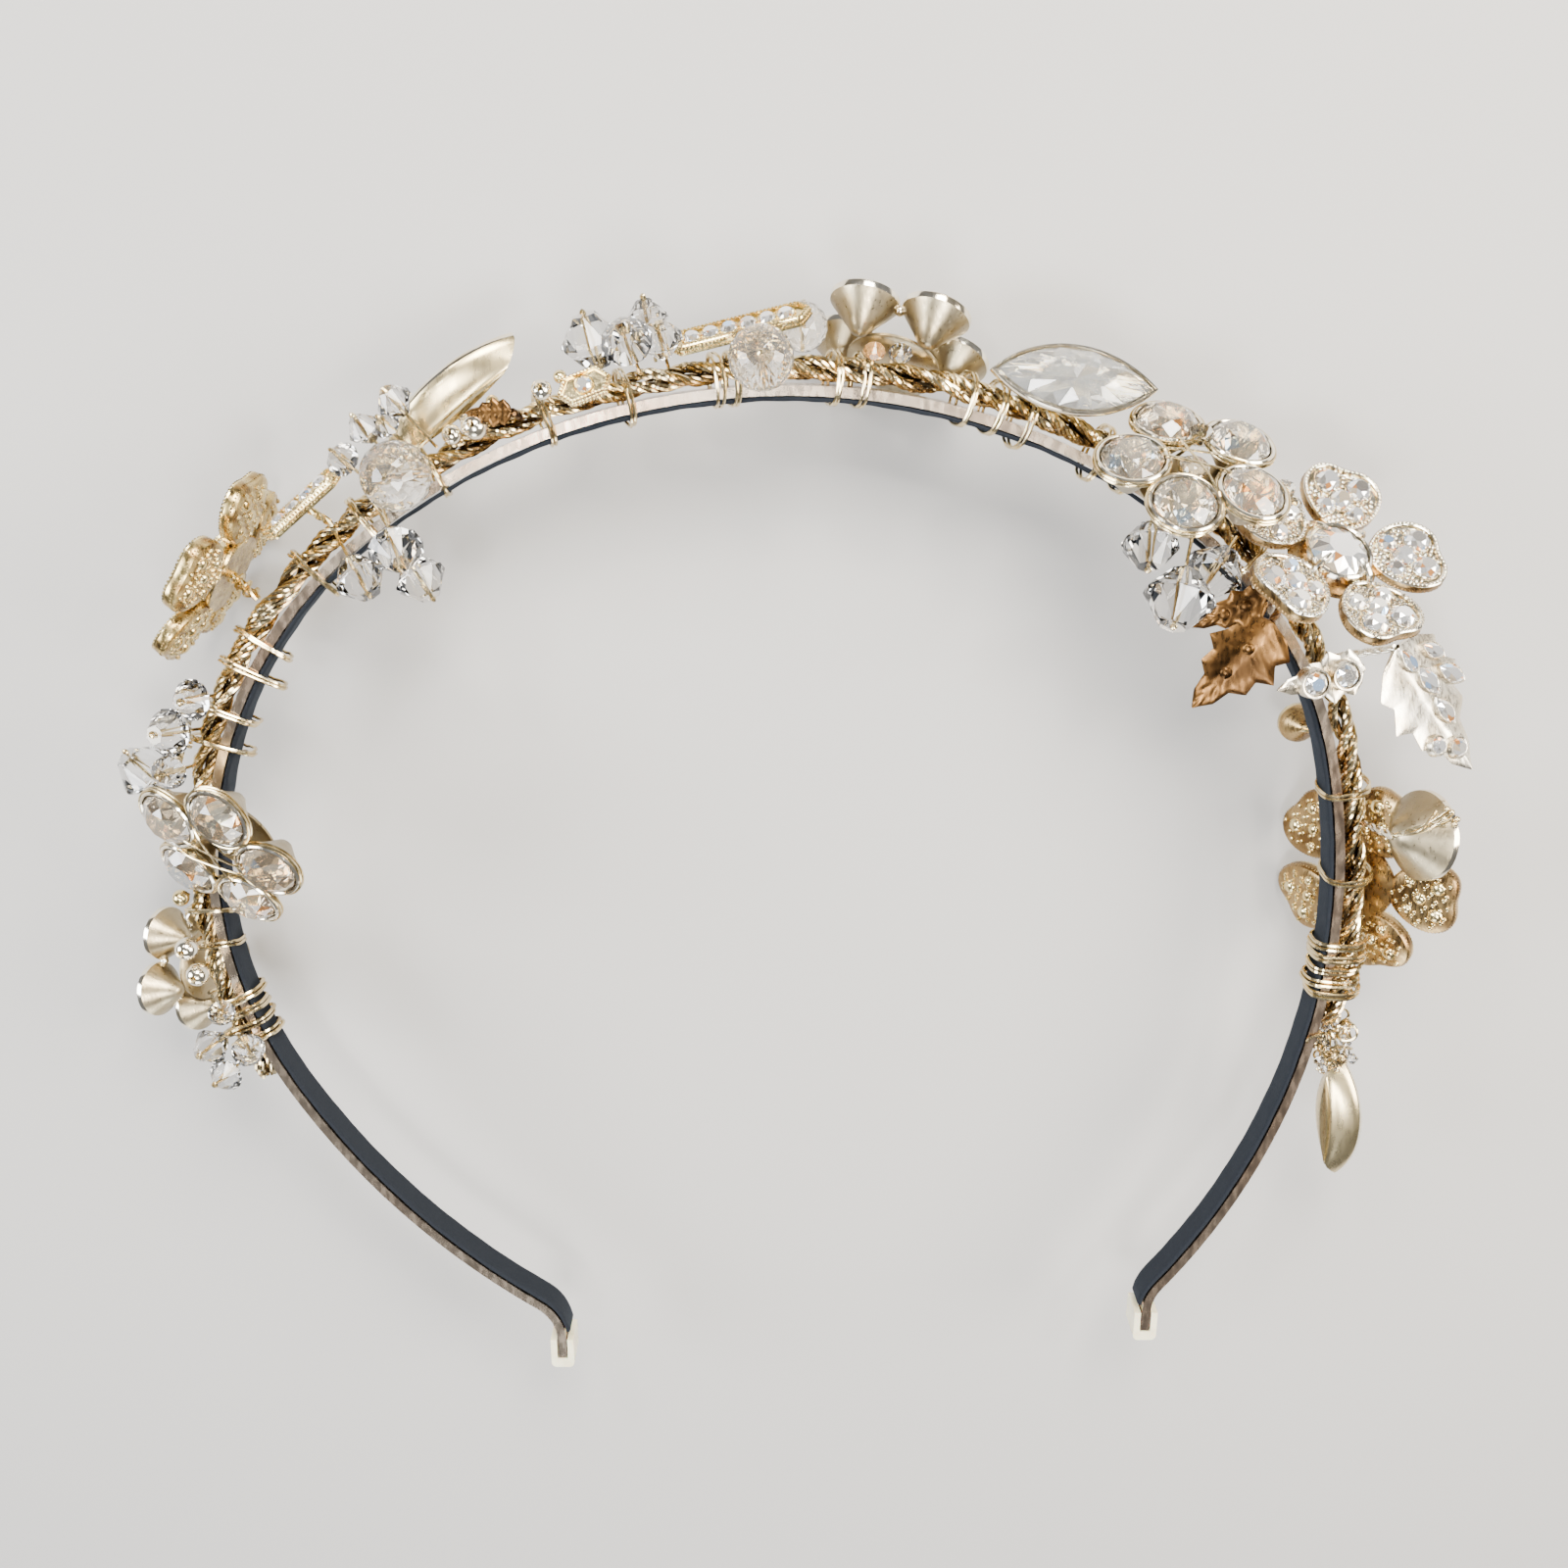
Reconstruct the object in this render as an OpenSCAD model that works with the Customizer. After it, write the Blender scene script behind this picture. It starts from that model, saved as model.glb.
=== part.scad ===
// Bridal diadem: a sprung strip with a wire vine that carries crystal flowers, leaves and beads.
// It lies on its side. X is the wearer's side to side, Y points to the crown and Z to the front
// edge. The origin is in the middle of its width and height, on the surface that it lies on.

/* [Strip] */
// Width of the sprung strip, from its back edge to its front edge
strip_w = 4.6; // [4.2:0.1:5.2]
// Thickness of the strip
strip_t = 1.2; // [0.9:0.05:1.4]
// Height of the strip's back edge over the surface, where the flowers hold it up
strip_lift = 12.7; // [12.6:0.1:14]
// Distance from the origin to the middle of the strip at the crown
crown_h = 62.4; // [58:0.2:68]
// Radius of the crown arc, right half
crown_r_right = 82; // [78:0.5:88]
// Sweep of the crown arc, right half
crown_sweep_right = 38; // [36:0.5:40]
// Radius of the temple arc, right half
temple_r_right = 52.4; // [50:0.2:55]
// Sweep of the temple arc, right half
temple_sweep_right = 37.5; // [36:0.5:40]
// Radius of the leg arc, right half
leg_r_right = 90.6; // [86:0.2:96]
// Sweep of the leg arc, right half
leg_sweep_right = 52.5; // [50:0.5:55]
// Radius of the crown arc, left half
crown_r_left = 86; // [82:0.5:90]
// Sweep of the crown arc, left half
crown_sweep_left = 37.5; // [36:0.5:40]
// Radius of the temple arc, left half
temple_r_left = 58; // [55:0.2:61]
// Sweep of the temple arc, left half
temple_sweep_left = 81.5; // [79:0.5:84]
// Radius of the leg arc, left half
leg_r_left = 104; // [98:1:112]
// Sweep of the leg arc, left half
leg_sweep_left = 26.5; // [24:0.5:29]
// Radius of the bend that turns each end of the strip down
end_bend_r = 7; // [5:0.5:10]
// Straight run of the strip after that bend
end_straight = 3; // [2.8:0.2:4]

/* [Lining and tips] */
// Thickness of the ribbon inside the strip
lining_t = 0.5; // [0.4:0.1:0.8]
// Width of the ribbon
lining_w = 4.2; // [3.8:0.1:4.6]
// Length of a tip cap along the strip
tip_len = 4.6; // [4:0.2:6]
// Wall of a tip cap
tip_wall = 0.9; // [0.6:0.1:1.2]
// Depth of the strip inside its tip cap
tip_depth = 3; // [2.4:0.2:3]

/* [Vine and wires] */
// Diameter of the rope of thin wires
vine_d = 3.5; // [3:0.1:4]
// Where the vine starts, as a share of the left half of the strip
vine_start = 0.695; // [0.69:0.005:0.71]
// Where the vine ends, as a share of the right half of the strip
vine_end = 0.705; // [0.7:0.005:0.72]
// Strands that show in the rope
vine_strands = 5; // [4:1:6]
// Depth of the valleys between the strands
strand_groove = 0.35; // [0.2:0.05:0.5]
// Turns of the rope over its whole length
vine_turns = 6; // [4:1:8]
// Thickness of the binding wire
binding_d = 0.55; // [0.4:0.05:0.7]
// Slant of a binding wrap along the strip
binding_slant = 1.1; // [0.6:0.1:1.6]
// Thickness of a bead's stem wire
bead_wire_d = 0.55; // [0.4:0.05:0.65]
// Thickness of the stem that carries a flower, leaf or bar
stem_d = 1; // [0.8:0.1:1.3]
// Turns of the close coil at each end of the vine
coil_turns = 4; // [3:1:5]
// Distance from turn to turn in a close coil
coil_pitch = 2; // [1.6:0.1:2.2]

/* [Cup flowers] */
// Radius of a cut stone in a cup
stone_r = 3.6; // [3.4:0.05:3.7]
// Wall of a cup round its stone
cup_wall = 0.4; // [0.3:0.05:0.5]
// Depth of a cup's cone behind the stone
cup_depth = 4; // [3.4:0.1:4.6]
// Height of a cup's straight rim
cup_rim = 1; // [0.8:0.1:1.4]
// Distance from the middle of a flower to the middle of a cup
cup_ring = 6.8; // [6.7:0.05:7]
// Outward tilt of each cup
cup_dish = 7; // [5:0.5:10]
// Radius of the plate that joins the cups
hub_r = 5.7; // [5.6:0.05:5.8]
// Radius of the ball in the middle of a cup flower
heart_r = 1.7; // [1.2:0.1:2]
// Scale of the smaller flower at the left end
tail_scale = 0.87; // [0.84:0.01:0.9]

/* [Pave flowers] */
// Radius of a petal
petal_r = 5.1; // [4.8:0.1:5.3]
// Distance from the middle of a flower to the middle of a petal
petal_ring = 8.9; // [8.6:0.1:9.2]
// Height of a petal's rim
petal_h = 1.9; // [1.5:0.1:2.3]
// Width of the rim round the petal's stones
petal_rim = 0.5; // [0.4:0.05:0.6]
// Rise of each petal towards its outer end
petal_dish = 9; // [4:1:14]
// Radius of the large stone in the middle
centre_stone_r = 3.6; // [3.2:0.1:3.7]

/* [Bars, leaves and navettes] */
// Width of a pave bar
bar_w = 3.4; // [3:0.1:3.8]
// Thickness of a pave bar
bar_t = 1.5; // [1.3:0.1:1.9]
// Radius of a small stone in a bar
bar_stone_r = 1.05; // [0.9:0.05:1.15]
// Thickness of a leaf's metal
leaf_t = 0.7; // [0.5:0.1:1]
// Fold of a leaf's halves along its midrib
leaf_fold = 14; // [8:1:20]
// Wall of a navette's boat setting
boat_wall = 0.45; // [0.35:0.05:0.6]
// Depth of the foiled back of a navette
boat_depth = 2.6; // [2:0.1:3]

/* [Clearances] */
// Gap between the strip and the ribbon or the vine
lay_gap = 0.15; // [0.1:0.05:0.2]
// Gap between the vine and the end of a stem
stem_gap = 0.3; // [0.2:0.05:0.4]
// Gap between a wrap of wire and what it binds
wrap_gap = 0.2; // [0.15:0.05:0.25]
// Gap between a stone and its setting
stone_gap = 0.14; // [0.1:0.02:0.18]
// Gap between a bead's hole and its wire
thread_gap = 0.15; // [0.1:0.05:0.25]

/* [Hidden] */

// Arcs of each half from the crown on: radius, sweep inward. The last one bends back outward.
right_arcs = [[crown_r_right, crown_sweep_right], [temple_r_right, temple_sweep_right],
    [leg_r_right, leg_sweep_right],
    [end_bend_r, 90 - crown_sweep_right - temple_sweep_right - leg_sweep_right]];
left_arcs = [[crown_r_left, crown_sweep_left], [temple_r_left, temple_sweep_left],
    [leg_r_left, leg_sweep_left],
    [end_bend_r, 90 - crown_sweep_left - temple_sweep_left - leg_sweep_left]];
strip_mid = strip_lift + strip_w/2;
vine_r = vine_d/2;
vine_out = strip_t/2 + lay_gap + vine_r;
cup_r = stone_r + stone_gap + cup_wall;
silver = [0.86, 0.84, 0.78];
pale_gold = [0.87, 0.8, 0.62];
brown_gold = [0.6, 0.45, 0.27];
crystal = [0.85, 0.92, 0.97, 0.8];

// Places of the ornaments. Each row holds a share along the half strip (left is negative), the
// reach outward from the vine, the rise to the front from the strip's middle, the swing of the
// face along the strip, its lean to the front and the spin round its own axis.
FLOWER_TAIL = [-0.617, 2.7, -4.1, -7, -27, 41];
FLOWER_SIDE = [-0.497, -7.7, 7.5, 60, 57, 3];
FLOWER_CREST = [0.066, 0.6, -2.9, -10, -35, 4];
FLOWER_FRONT = [0.264, -0.2, 7.8, 27, 34, -33];
PAVE_FRONT = [0.36, 5.2, 8.5, 35, 40, 14];
PAVE_SIDE = [-0.361, 6.2, -2.3, 8, -2, 131];
PAVE_BACK = [0.6, 1.5, -3.2, 5, -42, 61];
BAR_SIDE = [-0.293, 4, 4.7, 0, 20, 4];
BAR_CREST = [-0.027, 4, 3, 10, 30, 0];
NAVETTE_SIDE = [-0.194, 5.8, 0.2, 14, -32, 0];
NAVETTE_CREST = [0.174, 4.9, 2.9, 0, 62, 16];
NAVETTE_DROP = [0.775, 5.8, 0.2, 22, -35, 0];
LEAF_INNER = [0.373, -3.7, 5.7, 0, 96, -76];
LEAF_LOW = [0.352, -2.6, 7.5, 0, 90, -109];
LEAF_STAR = [0.424, 2, 9.7, 0, 80, -106];
LEAF_SPRAY = [0.426, 6.7, 7.7, 0, 58, 11];
CUP_SIDE = [0.545, 2.1, 8.3, -14, -20, 0];
CUP_BACK = [0.481, -3.4, -4.8, 0, -90, 0];
SPRIG_PLATE = [-0.117, 1, 5, 0, 60, 6];
BAR_PLATE = [-0.461, 2.9, 1.6, 0, 20, -4];

// Beads on straight stems. Each row holds a share along the half strip, the drift along the
// strip from the stem's root, the reach outward from the vine, the rise to the front and the
// bead's radius.
TAIL_BEADS = [[-0.654, 0, 2.4, 5.7, 2.3], [-0.675, 0, 2.5, 5.7, 2.1], [-0.6645, 0, -2, 5.7, 2],
    [-0.634, 0, -0.9, 5.7, 1.6]];
SIDE_BEADS = [[-0.423, 0, 1.9, 6.7, 2.4], [-0.447, 0, 3.2, 6.7, 2.8], [-0.5, 4, 6.5, 1.7, 3.4],
    [-0.471, 0, 2.2, 6.7, 2]];
INNER_LEFT_BEADS = [[-0.294, 0, -6, 6.7, 2.9], [-0.259, 0, -6, 9.7, 3], [-0.264, 0, -10.4, 5.7, 2.9]];
CREST_BEADS = [[-0.109, 0, 6, 1.2, 3.4], [-0.086, 0, 5.2, 10.2, 2.7], [-0.077, 0, 7.1, 0.7, 2.3],
    [-0.07, 0, 4.7, 6.2, 2.4]];
INNER_RIGHT_BEADS = [[0.25, 2.8, -7.3, 7.7, 3.1], [0.285, 2.8, -10.1, 10.7, 3.9],
    [0.319, 0, -4.9, 5.2, 3.4]];
SIDE_ROUND = [[-0.236, 0, 0.9, 7.7, 4.2]];
CREST_ROUND = [[-0.016, 0, 1.6, 8.2, 3.8], [0.008, 0, 4.6, -2.4, 3]];
SPRIG_BEADS = [[-0.258, 0, 5.8, 5.7, 1.9], [-0.241, 0, 7.4, 3.7, 1.9], [-0.214, 0, 8, 7.9, 2],
    [-0.227, 0, 6.2, 5.7, 1.5]];
BALLS = [[-0.185, 0, 1.5, 4.7, 1.6], [-0.199, 0, 1.8, 4.7, 1.2], [-0.14, 0, 2.5, 6.7, 1.2],
    [-0.587, 0, 0.9, 5.7, 1.5], [-0.605, 0, 0.4, 5.7, 1.5]];

// Shares of the half strip where a doubled wire binds the vine to the strip
WRAPS = [-0.596, -0.572, -0.508, -0.457, -0.435, -0.404, -0.383, -0.325, -0.278, -0.225, -0.15,
    -0.1, -0.045, -0.035, 0.028, 0.045, 0.115, 0.135, 0.155, 0.21, 0.235, 0.335, 0.52, 0.585];

// Half outline of a leaf from base to tip: share of its length, share of its half width
LEAF_EDGE = [[0, 0.1], [0.04, 0.5], [0.16, 0.9], [0.27, 0.72], [0.4, 1], [0.48, 0.66],
    [0.62, 0.7], [0.7, 0.38], [0.86, 0.3], [1, 0.02]];
// Stones of a petal from its middle outward: share outward, share sideways, share of its radius
PETAL_STONES = [[0.42, 0.43, 0.28], [0.42, -0.43, 0.28], [-0.02, 0, 0.25], [-0.35, 0.4, 0.2],
    [-0.35, -0.4, 0.2]];
// Stones of the spray leaf: share of its length, share of its half width, radius, pointed or not
SPRAY_STONES = [[0.11, 0, 1.4, true], [0.305, 0.14, 1.8, true], [0.54, 0.1, 1.7, true],
    [0.79, -0.08, 1.2, false], [0.41, 0.66, 1.8, true], [0.2, 0.58, 1.5, true],
    [0.66, -0.44, 1.1, false]];

// Run of one arc, and of a half from arc number i on to the strip's end
function arc_run(arc) = arc[0]*abs(arc[1])*PI/180;
function half_run(arcs, i = 0) =
    i >= len(arcs) ? end_straight : arc_run(arcs[i]) + half_run(arcs, i + 1);

// Place and heading on the strip's middle line after a run of s from the crown
function walk(arcs, s, i = 0, x = 0, y = crown_h, h = 0) =
    i >= len(arcs) ? [x + s*cos(h), y + s*sin(h), h]
    : let (r = arcs[i][0]*sign(arcs[i][1]), run = min(s, arc_run(arcs[i])),
        h2 = h - run/r*180/PI, x2 = x + r*(sin(h) - sin(h2)), y2 = y + r*(cos(h2) - cos(h)))
    run >= s ? [x2, y2, h2] : walk(arcs, s - run, i + 1, x2, y2, h2);

// The same at a share of the half strip, left when it is negative
function strip_at(share) =
    share >= 0 ? walk(right_arcs, share*half_run(right_arcs))
    : let (p = walk(left_arcs, -share*half_run(left_arcs))) [-p[0], p[1], -p[2]];

// A point of the local frame at a share: x along the strip, y outward, z to the front
function from_strip(share, p) =
    let (b = strip_at(share))
    [b[0] + p[0]*cos(b[2]) - p[1]*sin(b[2]), b[1] + p[0]*sin(b[2]) + p[1]*cos(b[2]), p[2]];

function unit(v) = v/norm(v);

// A closed outline of n points on a circle
function circle_ring(r, z, n, turn = 0) =
    [for (k = [0:n - 1]) [r*cos(360*k/n + turn), r*sin(360*k/n + turn), z]];

// A closed pointed outline of n points, such as a navette's
function navette_ring(half_len, half_w, z, n) =
    let (rr = (half_len*half_len + half_w*half_w)/(2*half_w))
    [for (k = [0:n - 1]) let (a = 360*k/n, x = half_len*cos(a),
        y = sqrt(rr*rr - x*x) - (rr - half_w)) [x, a < 180 ? y : -y, z]];

// A ring of n points round a path's point c, across its tangent t
function path_ring(c, u, t, r, n, turn = 0, groove = 0) =
    let (v = cross(t, u))
    [for (k = [0:n - 1]) let (a = 360*k/n + turn, q = r - (k % 2 == 0 ? 0 : groove))
        c + q*(cos(a)*u + sin(a)*v)];

// A solid over rings that all have the same number of points
module loft(rings, closed = false) {
    n = len(rings[0]);
    m = len(rings);
    points = [for (ring = rings) each ring];
    sides = [for (i = [0:m - (closed ? 1 : 2)], k = [0:n - 1])
        let (a = i*n + k, b = i*n + (k + 1) % n, c = ((i + 1) % m)*n + (k + 1) % n,
            d = ((i + 1) % m)*n + k) each [[a, c, b], [a, d, c]]];
    ends = closed ? [] : [[for (k = [0:n - 1]) k], [for (k = [n - 1:-1:0]) (m - 1)*n + k]];
    polyhedron(points, concat(sides, ends), convexity = 6);
}

// A wire along a path of points, round the fixed cross direction u
module wire(path, d, u = [1, 0, 0], n = 5, closed = false) {
    m = len(path);
    loft([for (i = [0:m - 1])
        let (before = path[closed ? (i + m - 1) % m : max(i - 1, 0)],
            after = path[closed ? (i + 1) % m : min(i + 1, m - 1)])
        path_ring(path[i], u, unit(after - before), d/2, n)], closed);
}

// A straight round rod from p to q
module rod(p, q, d) {
    v = q - p;
    translate(p) rotate([0, acos(v[2]/norm(v)), atan2(v[1], v[0])])
        cylinder(h = norm(v), d = d, $fn = 24);
}

// Moves its children to the vine's axis at a share of the half strip
module on_vine(share) {
    b = strip_at(share);
    translate([b[0], b[1], strip_mid]) rotate([0, 0, b[2]]) translate([0, vine_out, 0])
        children();
}

// Moves its children to a place of the tables, their +Z along the ornament's face
module seat(place) {
    on_vine(place[0]) translate([0, place[1], place[2]]) rotate([0, 0, place[3]])
        rotate([place[4] - 90, 0, 0]) rotate([0, 0, place[5]]) children();
}

// Where a stem to p starts, just clear of the vine. A stem that reaches inward starts at the
// vine's front or back, so that it passes over the strip.
function stem_root(p) =
    (vine_r + stem_gap)*unit(p[1] < 0 ? [0, 0, p[2]] : [0, p[1], p[2]]);

// The stem from the vine to a depth inside an ornament's middle
module stem(place, bite = 0.3) {
    hub = [0, place[1], place[2]];
    root = stem_root(hub);
    on_vine(place[0]) rod(root, hub + unit(hub - root)*bite, stem_d);
}

// Steps of the strip's outline: most follow the long arcs, the rest the bend at the end
long_steps = 54;
bend_steps = 18;
bend_share = 0.93;

// Shares of a half strip from the crown to the end, less a length that is cut off there
function shares(run, cut) =
    [for (k = [0:long_steps + bend_steps]) (1 - cut/run)
        *(k < long_steps ? bend_share*k/long_steps
            : bend_share + (1 - bend_share)*(k - long_steps)/bend_steps)];

// Plan outline of a band that follows the strip between two distances outward from its middle
module strip_outline(inner, outer, cut = 0) {
    right = shares(half_run(right_arcs), cut);
    left = shares(half_run(left_arcs), cut);
    both = concat([for (k = [len(left) - 1:-1:1]) -left[k]], right);
    polygon(concat([for (share = both) let (p = from_strip(share, [0, outer, 0])) [p[0], p[1]]],
        [for (k = [len(both) - 1:-1:0]) let (p = from_strip(both[k], [0, inner, 0]))
            [p[0], p[1]]]));
}

// The sprung strip
module band() color(silver)
    translate([0, 0, strip_lift]) linear_extrude(strip_w) strip_outline(-strip_t/2, strip_t/2);

// The ribbon glued inside the strip, from tip cap to tip cap
module lining() color([0.24, 0.29, 0.37])
    translate([0, 0, strip_mid - lining_w/2]) linear_extrude(lining_w)
        strip_outline(-strip_t/2 - lay_gap - lining_t, -strip_t/2 - lay_gap, tip_depth + 1);

tip_over = 0.1;
tip_corner = 0.8;

// A cream channel cap round an end of the strip: side is 1 on the right and -1 on the left
module tip(side) {
    b = strip_at(side);
    half = strip_t/2 + lay_gap + tip_wall;
    end = tip_len - tip_depth;
    translate([b[0], b[1], strip_lift - tip_over]) rotate([0, 0, b[2]])
        mirror([side < 0 ? 1 : 0, 0, 0]) linear_extrude(strip_w + 2*tip_over) difference() {
            union() {
                translate([-tip_depth, -half]) square([tip_len - tip_corner, 2*half]);
                translate([0, tip_corner - half]) square([end, 2*(half - tip_corner)]);
                for (y = [-1, 1]) translate([end - tip_corner, y*(half - tip_corner)])
                    circle(r = tip_corner, $fn = 32);
            }
            translate([-2*tip_depth, -half + tip_wall])
                square([2*tip_depth + lay_gap, 2*(half - tip_wall)]);
        }
}

module tip_left() color([0.89, 0.87, 0.74]) tip(-1);

module tip_right() color([0.89, 0.87, 0.74]) tip(1);

// The rope of thin wires, as one grooved and twisted solid
module vine() color(pale_gold) {
    rings = 88;
    loft([for (i = [0:rings])
        let (share = -vine_start + (vine_start + vine_end)*i/rings, h = strip_at(share)[2])
        path_ring(from_strip(share, [0, vine_out, strip_mid]), [-sin(h), cos(h), 0],
            [cos(h), sin(h), 0], vine_r, 2*vine_strands, 360*vine_turns*i/rings,
            strand_groove)]);
}

// Corners of a turn of wire round the ribbon, the strip and the vine: outward, height from
// the strip's middle
turn_grow = wrap_gap + binding_d/2;
turn_back = -strip_t/2 - lay_gap - lining_t - turn_grow;
turn_half = strip_w/2 + turn_grow;
turn_round = (vine_r + turn_grow)*1.09;
corner_slack = 0.3;
TURN = [[vine_out, turn_round], [strip_t/2, turn_half],
    [-strip_t/2 - corner_slack, turn_half], [turn_back, lining_w/2 + corner_slack],
    [turn_back, 0], [turn_back, -lining_w/2 - corner_slack],
    [-strip_t/2 - corner_slack, -turn_half], [strip_t/2, -turn_half],
    [vine_out, -turn_round], [vine_out + turn_round*cos(45), -turn_round*sin(45)],
    [vine_out + turn_round, 0], [vine_out + turn_round*cos(45), turn_round*sin(45)]];
turn_steps = len(TURN);

// Corner number k of a turn, shifted by x along the strip
function turn_point(k, x) =
    let (c = TURN[k % turn_steps]) [x, c[0], strip_mid + c[1]];

module bindings() color(pale_gold)
    for (share = WRAPS) {
        h = strip_at(share)[2];
        wire([for (k = [0:turn_steps - 1])
            from_strip(share, turn_point(k, binding_slant*TURN[k][1]/turn_half/2))],
            binding_d, [cos(h), sin(h), 0], closed = true);
    }

// From the vine's end to the middle of its coil, as a share of the half strip
coil_inset = 0.046;

// A close coil at an end of the vine, centred on a share of the half strip
module coil(share) {
    h = strip_at(share)[2];
    steps = coil_turns*turn_steps;
    wire([for (k = [0:steps])
        from_strip(share, turn_point(k, coil_pitch*(k - steps/2)/turn_steps))], binding_d,
        [cos(h), sin(h), 0]);
}

module coil_left() color(pale_gold) coil(-vine_start + coil_inset);

module coil_right() color(pale_gold) coil(vine_end - coil_inset);

// A cone-backed cup, its point at the origin and open to +Z
module cup(r, depth, rim) {
    inner = r - cup_wall;
    rotate_extrude($fn = 48)
        polygon([[0, 0], [r*0.22, 0], [r, depth], [r, depth + rim], [inner, depth + rim],
            [inner, depth + cup_wall], [r*0.2, cup_wall*2], [0, cup_wall*2]]);
}

// A round cut stone that sits in the cup: table, crown, girdle and pavilion
module cup_stone(r, depth, n = 8) {
    girdle = depth + cup_wall + stone_gap*2;
    culet = cup_wall*2 + stone_gap*2;
    loft([circle_ring(r*0.08, culet, n), circle_ring(r*0.97, girdle, n, 180/n),
        circle_ring(r, girdle + 0.2, n, 180/n), circle_ring(r*0.56, girdle + r*0.42, n)]);
}

// Moves its children to each cup of a five-cup flower
module each_cup() {
    for (k = [0:4]) rotate([0, 0, 72*k]) translate([cup_ring, 0, 0]) rotate([0, cup_dish, 0])
        children();
}

hub_z = 0.4;
hub_t = 0.7;

// The soldered metal of a cup flower with its stem
module cup_flower(place, size = 1) {
    seat(place) scale(size) {
        each_cup() cup(cup_r, cup_depth, cup_rim);
        translate([0, 0, hub_z]) cylinder(r = hub_r, h = hub_t, $fn = 48);
        translate([0, 0, hub_z + heart_r]) sphere(r = heart_r, $fn = 32);
        cylinder(r = stem_d, h = hub_z + hub_t/2, $fn = 32);
    }
    stem(place);
}

module cup_flower_stones(place, size = 1)
    seat(place) scale(size) each_cup() cup_stone(stone_r, cup_depth);

module flower_tail() color(silver) cup_flower(FLOWER_TAIL, tail_scale);

module flower_tail_stones() color(crystal) cup_flower_stones(FLOWER_TAIL, tail_scale);

module flower_side() color(silver) cup_flower(FLOWER_SIDE);

module flower_side_stones() color(crystal) cup_flower_stones(FLOWER_SIDE);

module flower_crest() color(silver) cup_flower(FLOWER_CREST);

module flower_crest_stones() color(crystal) cup_flower_stones(FLOWER_CREST);

module flower_front() color(silver) cup_flower(FLOWER_FRONT);

module flower_front_stones() color(crystal) cup_flower_stones(FLOWER_FRONT);

// Outline of a petal with a notched, wider outer end towards +X
module petal_outline(r) {
    polygon([for (a = [0:15:345])
        let (q = r*(1 - 0.18*pow(max(0, cos(a)), 12) - 0.12*pow(sin(a/2), 2)))
        [q*cos(a), q*sin(a)*(1 + 0.16*cos(a))]]);
}

petal_floor = 0.7;
petal_lift = 0.6;

// Moves its children to each petal of a five-petal flower
module each_petal() {
    for (k = [0:4]) rotate([0, 0, 72*k]) translate([petal_ring, 0, petal_lift])
        rotate([0, -petal_dish, 0]) children();
}

collet_h = 2.6;

// A collet for the middle stone, its back at the origin
module collet(r) {
    difference() {
        cylinder(r = r + stone_gap + cup_wall, h = collet_h, $fn = 48);
        translate([0, 0, petal_floor]) cylinder(r = r + stone_gap, h = collet_h, $fn = 48);
    }
}

// The soldered metal of a pave flower
module pave_metal() {
    each_petal() difference() {
        linear_extrude(petal_h) petal_outline(petal_r);
        translate([0, 0, petal_floor]) linear_extrude(petal_h) petal_outline(petal_r - petal_rim);
    }
    cylinder(r = petal_ring*0.6, h = petal_floor, $fn = 48);
    collet(centre_stone_r);
}

// The small stones of the petals, each with a table and a ring of crown facets
module pave_stones() {
    inner = petal_r - petal_rim;
    each_petal() for (s = PETAL_STONES)
        translate([inner*s[0], inner*s[1], petal_floor + stone_gap]) small_stone(inner*s[2]);
}

module small_stone(r, n = 8)
    loft([circle_ring(r, 0, n, 180/n), circle_ring(r, r*0.3 + 0.2, n, 180/n),
        circle_ring(r*0.58, r*0.75 + 0.2, n)]);

// A large stone with a table, crown and flat foiled back, its back at the origin
module centre_stone(r, n = 10)
    translate([0, 0, petal_floor + stone_gap])
        loft([circle_ring(r, 0, n, 180/n), circle_ring(r, 1.4, n, 180/n),
            circle_ring(r*0.82, 2.1, n), circle_ring(r*0.52, 2.7, n, 180/n)]);

module pave_front() color(pale_gold) {
    seat(PAVE_FRONT) pave_metal();
    stem(PAVE_FRONT);
}

module pave_front_stones() color(crystal) seat(PAVE_FRONT) pave_stones();

module pave_front_centre() color(crystal) seat(PAVE_FRONT) centre_stone(centre_stone_r);

module pave_side() color(pale_gold) {
    seat(PAVE_SIDE) pave_metal();
    stem(PAVE_SIDE);
}

module pave_side_stones() color(crystal) seat(PAVE_SIDE) pave_stones();

module pave_side_centre() color(crystal) seat(PAVE_SIDE) centre_stone(centre_stone_r);

module pave_back() color(brown_gold) {
    seat(PAVE_BACK) pave_metal();
    stem(PAVE_BACK);
}

module pave_back_stones() color(crystal) seat(PAVE_BACK) pave_stones();

module pave_back_centre() color(crystal) seat(PAVE_BACK) centre_stone(centre_stone_r);

// A pave bar: a trough with pointed ends along X, open to +Z
module bar_metal(length) {
    difference() {
        linear_extrude(bar_t) bar_outline(length, bar_w);
        translate([0, 0, petal_floor])
            linear_extrude(bar_t) bar_outline(length - 2*petal_rim, bar_w - petal_rim);
    }
}

module bar_outline(length, w)
    polygon([[-length/2, 0], [-length/2 + w*0.35, -w/2], [length/2 - w*0.35, -w/2],
        [length/2, 0], [length/2 - w*0.35, w/2], [-length/2 + w*0.35, w/2]]);

module bar_stones(length) {
    count = floor((length - 2*petal_rim - bar_stone_r)/(2*bar_stone_r + 0.15));
    for (k = [0:count - 1])
        translate([(k - (count - 1)/2)*(2*bar_stone_r + 0.15), 0, petal_floor + stone_gap])
            small_stone(bar_stone_r);
}

bar_side_len = 12;
bar_crest_len = 17;

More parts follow.
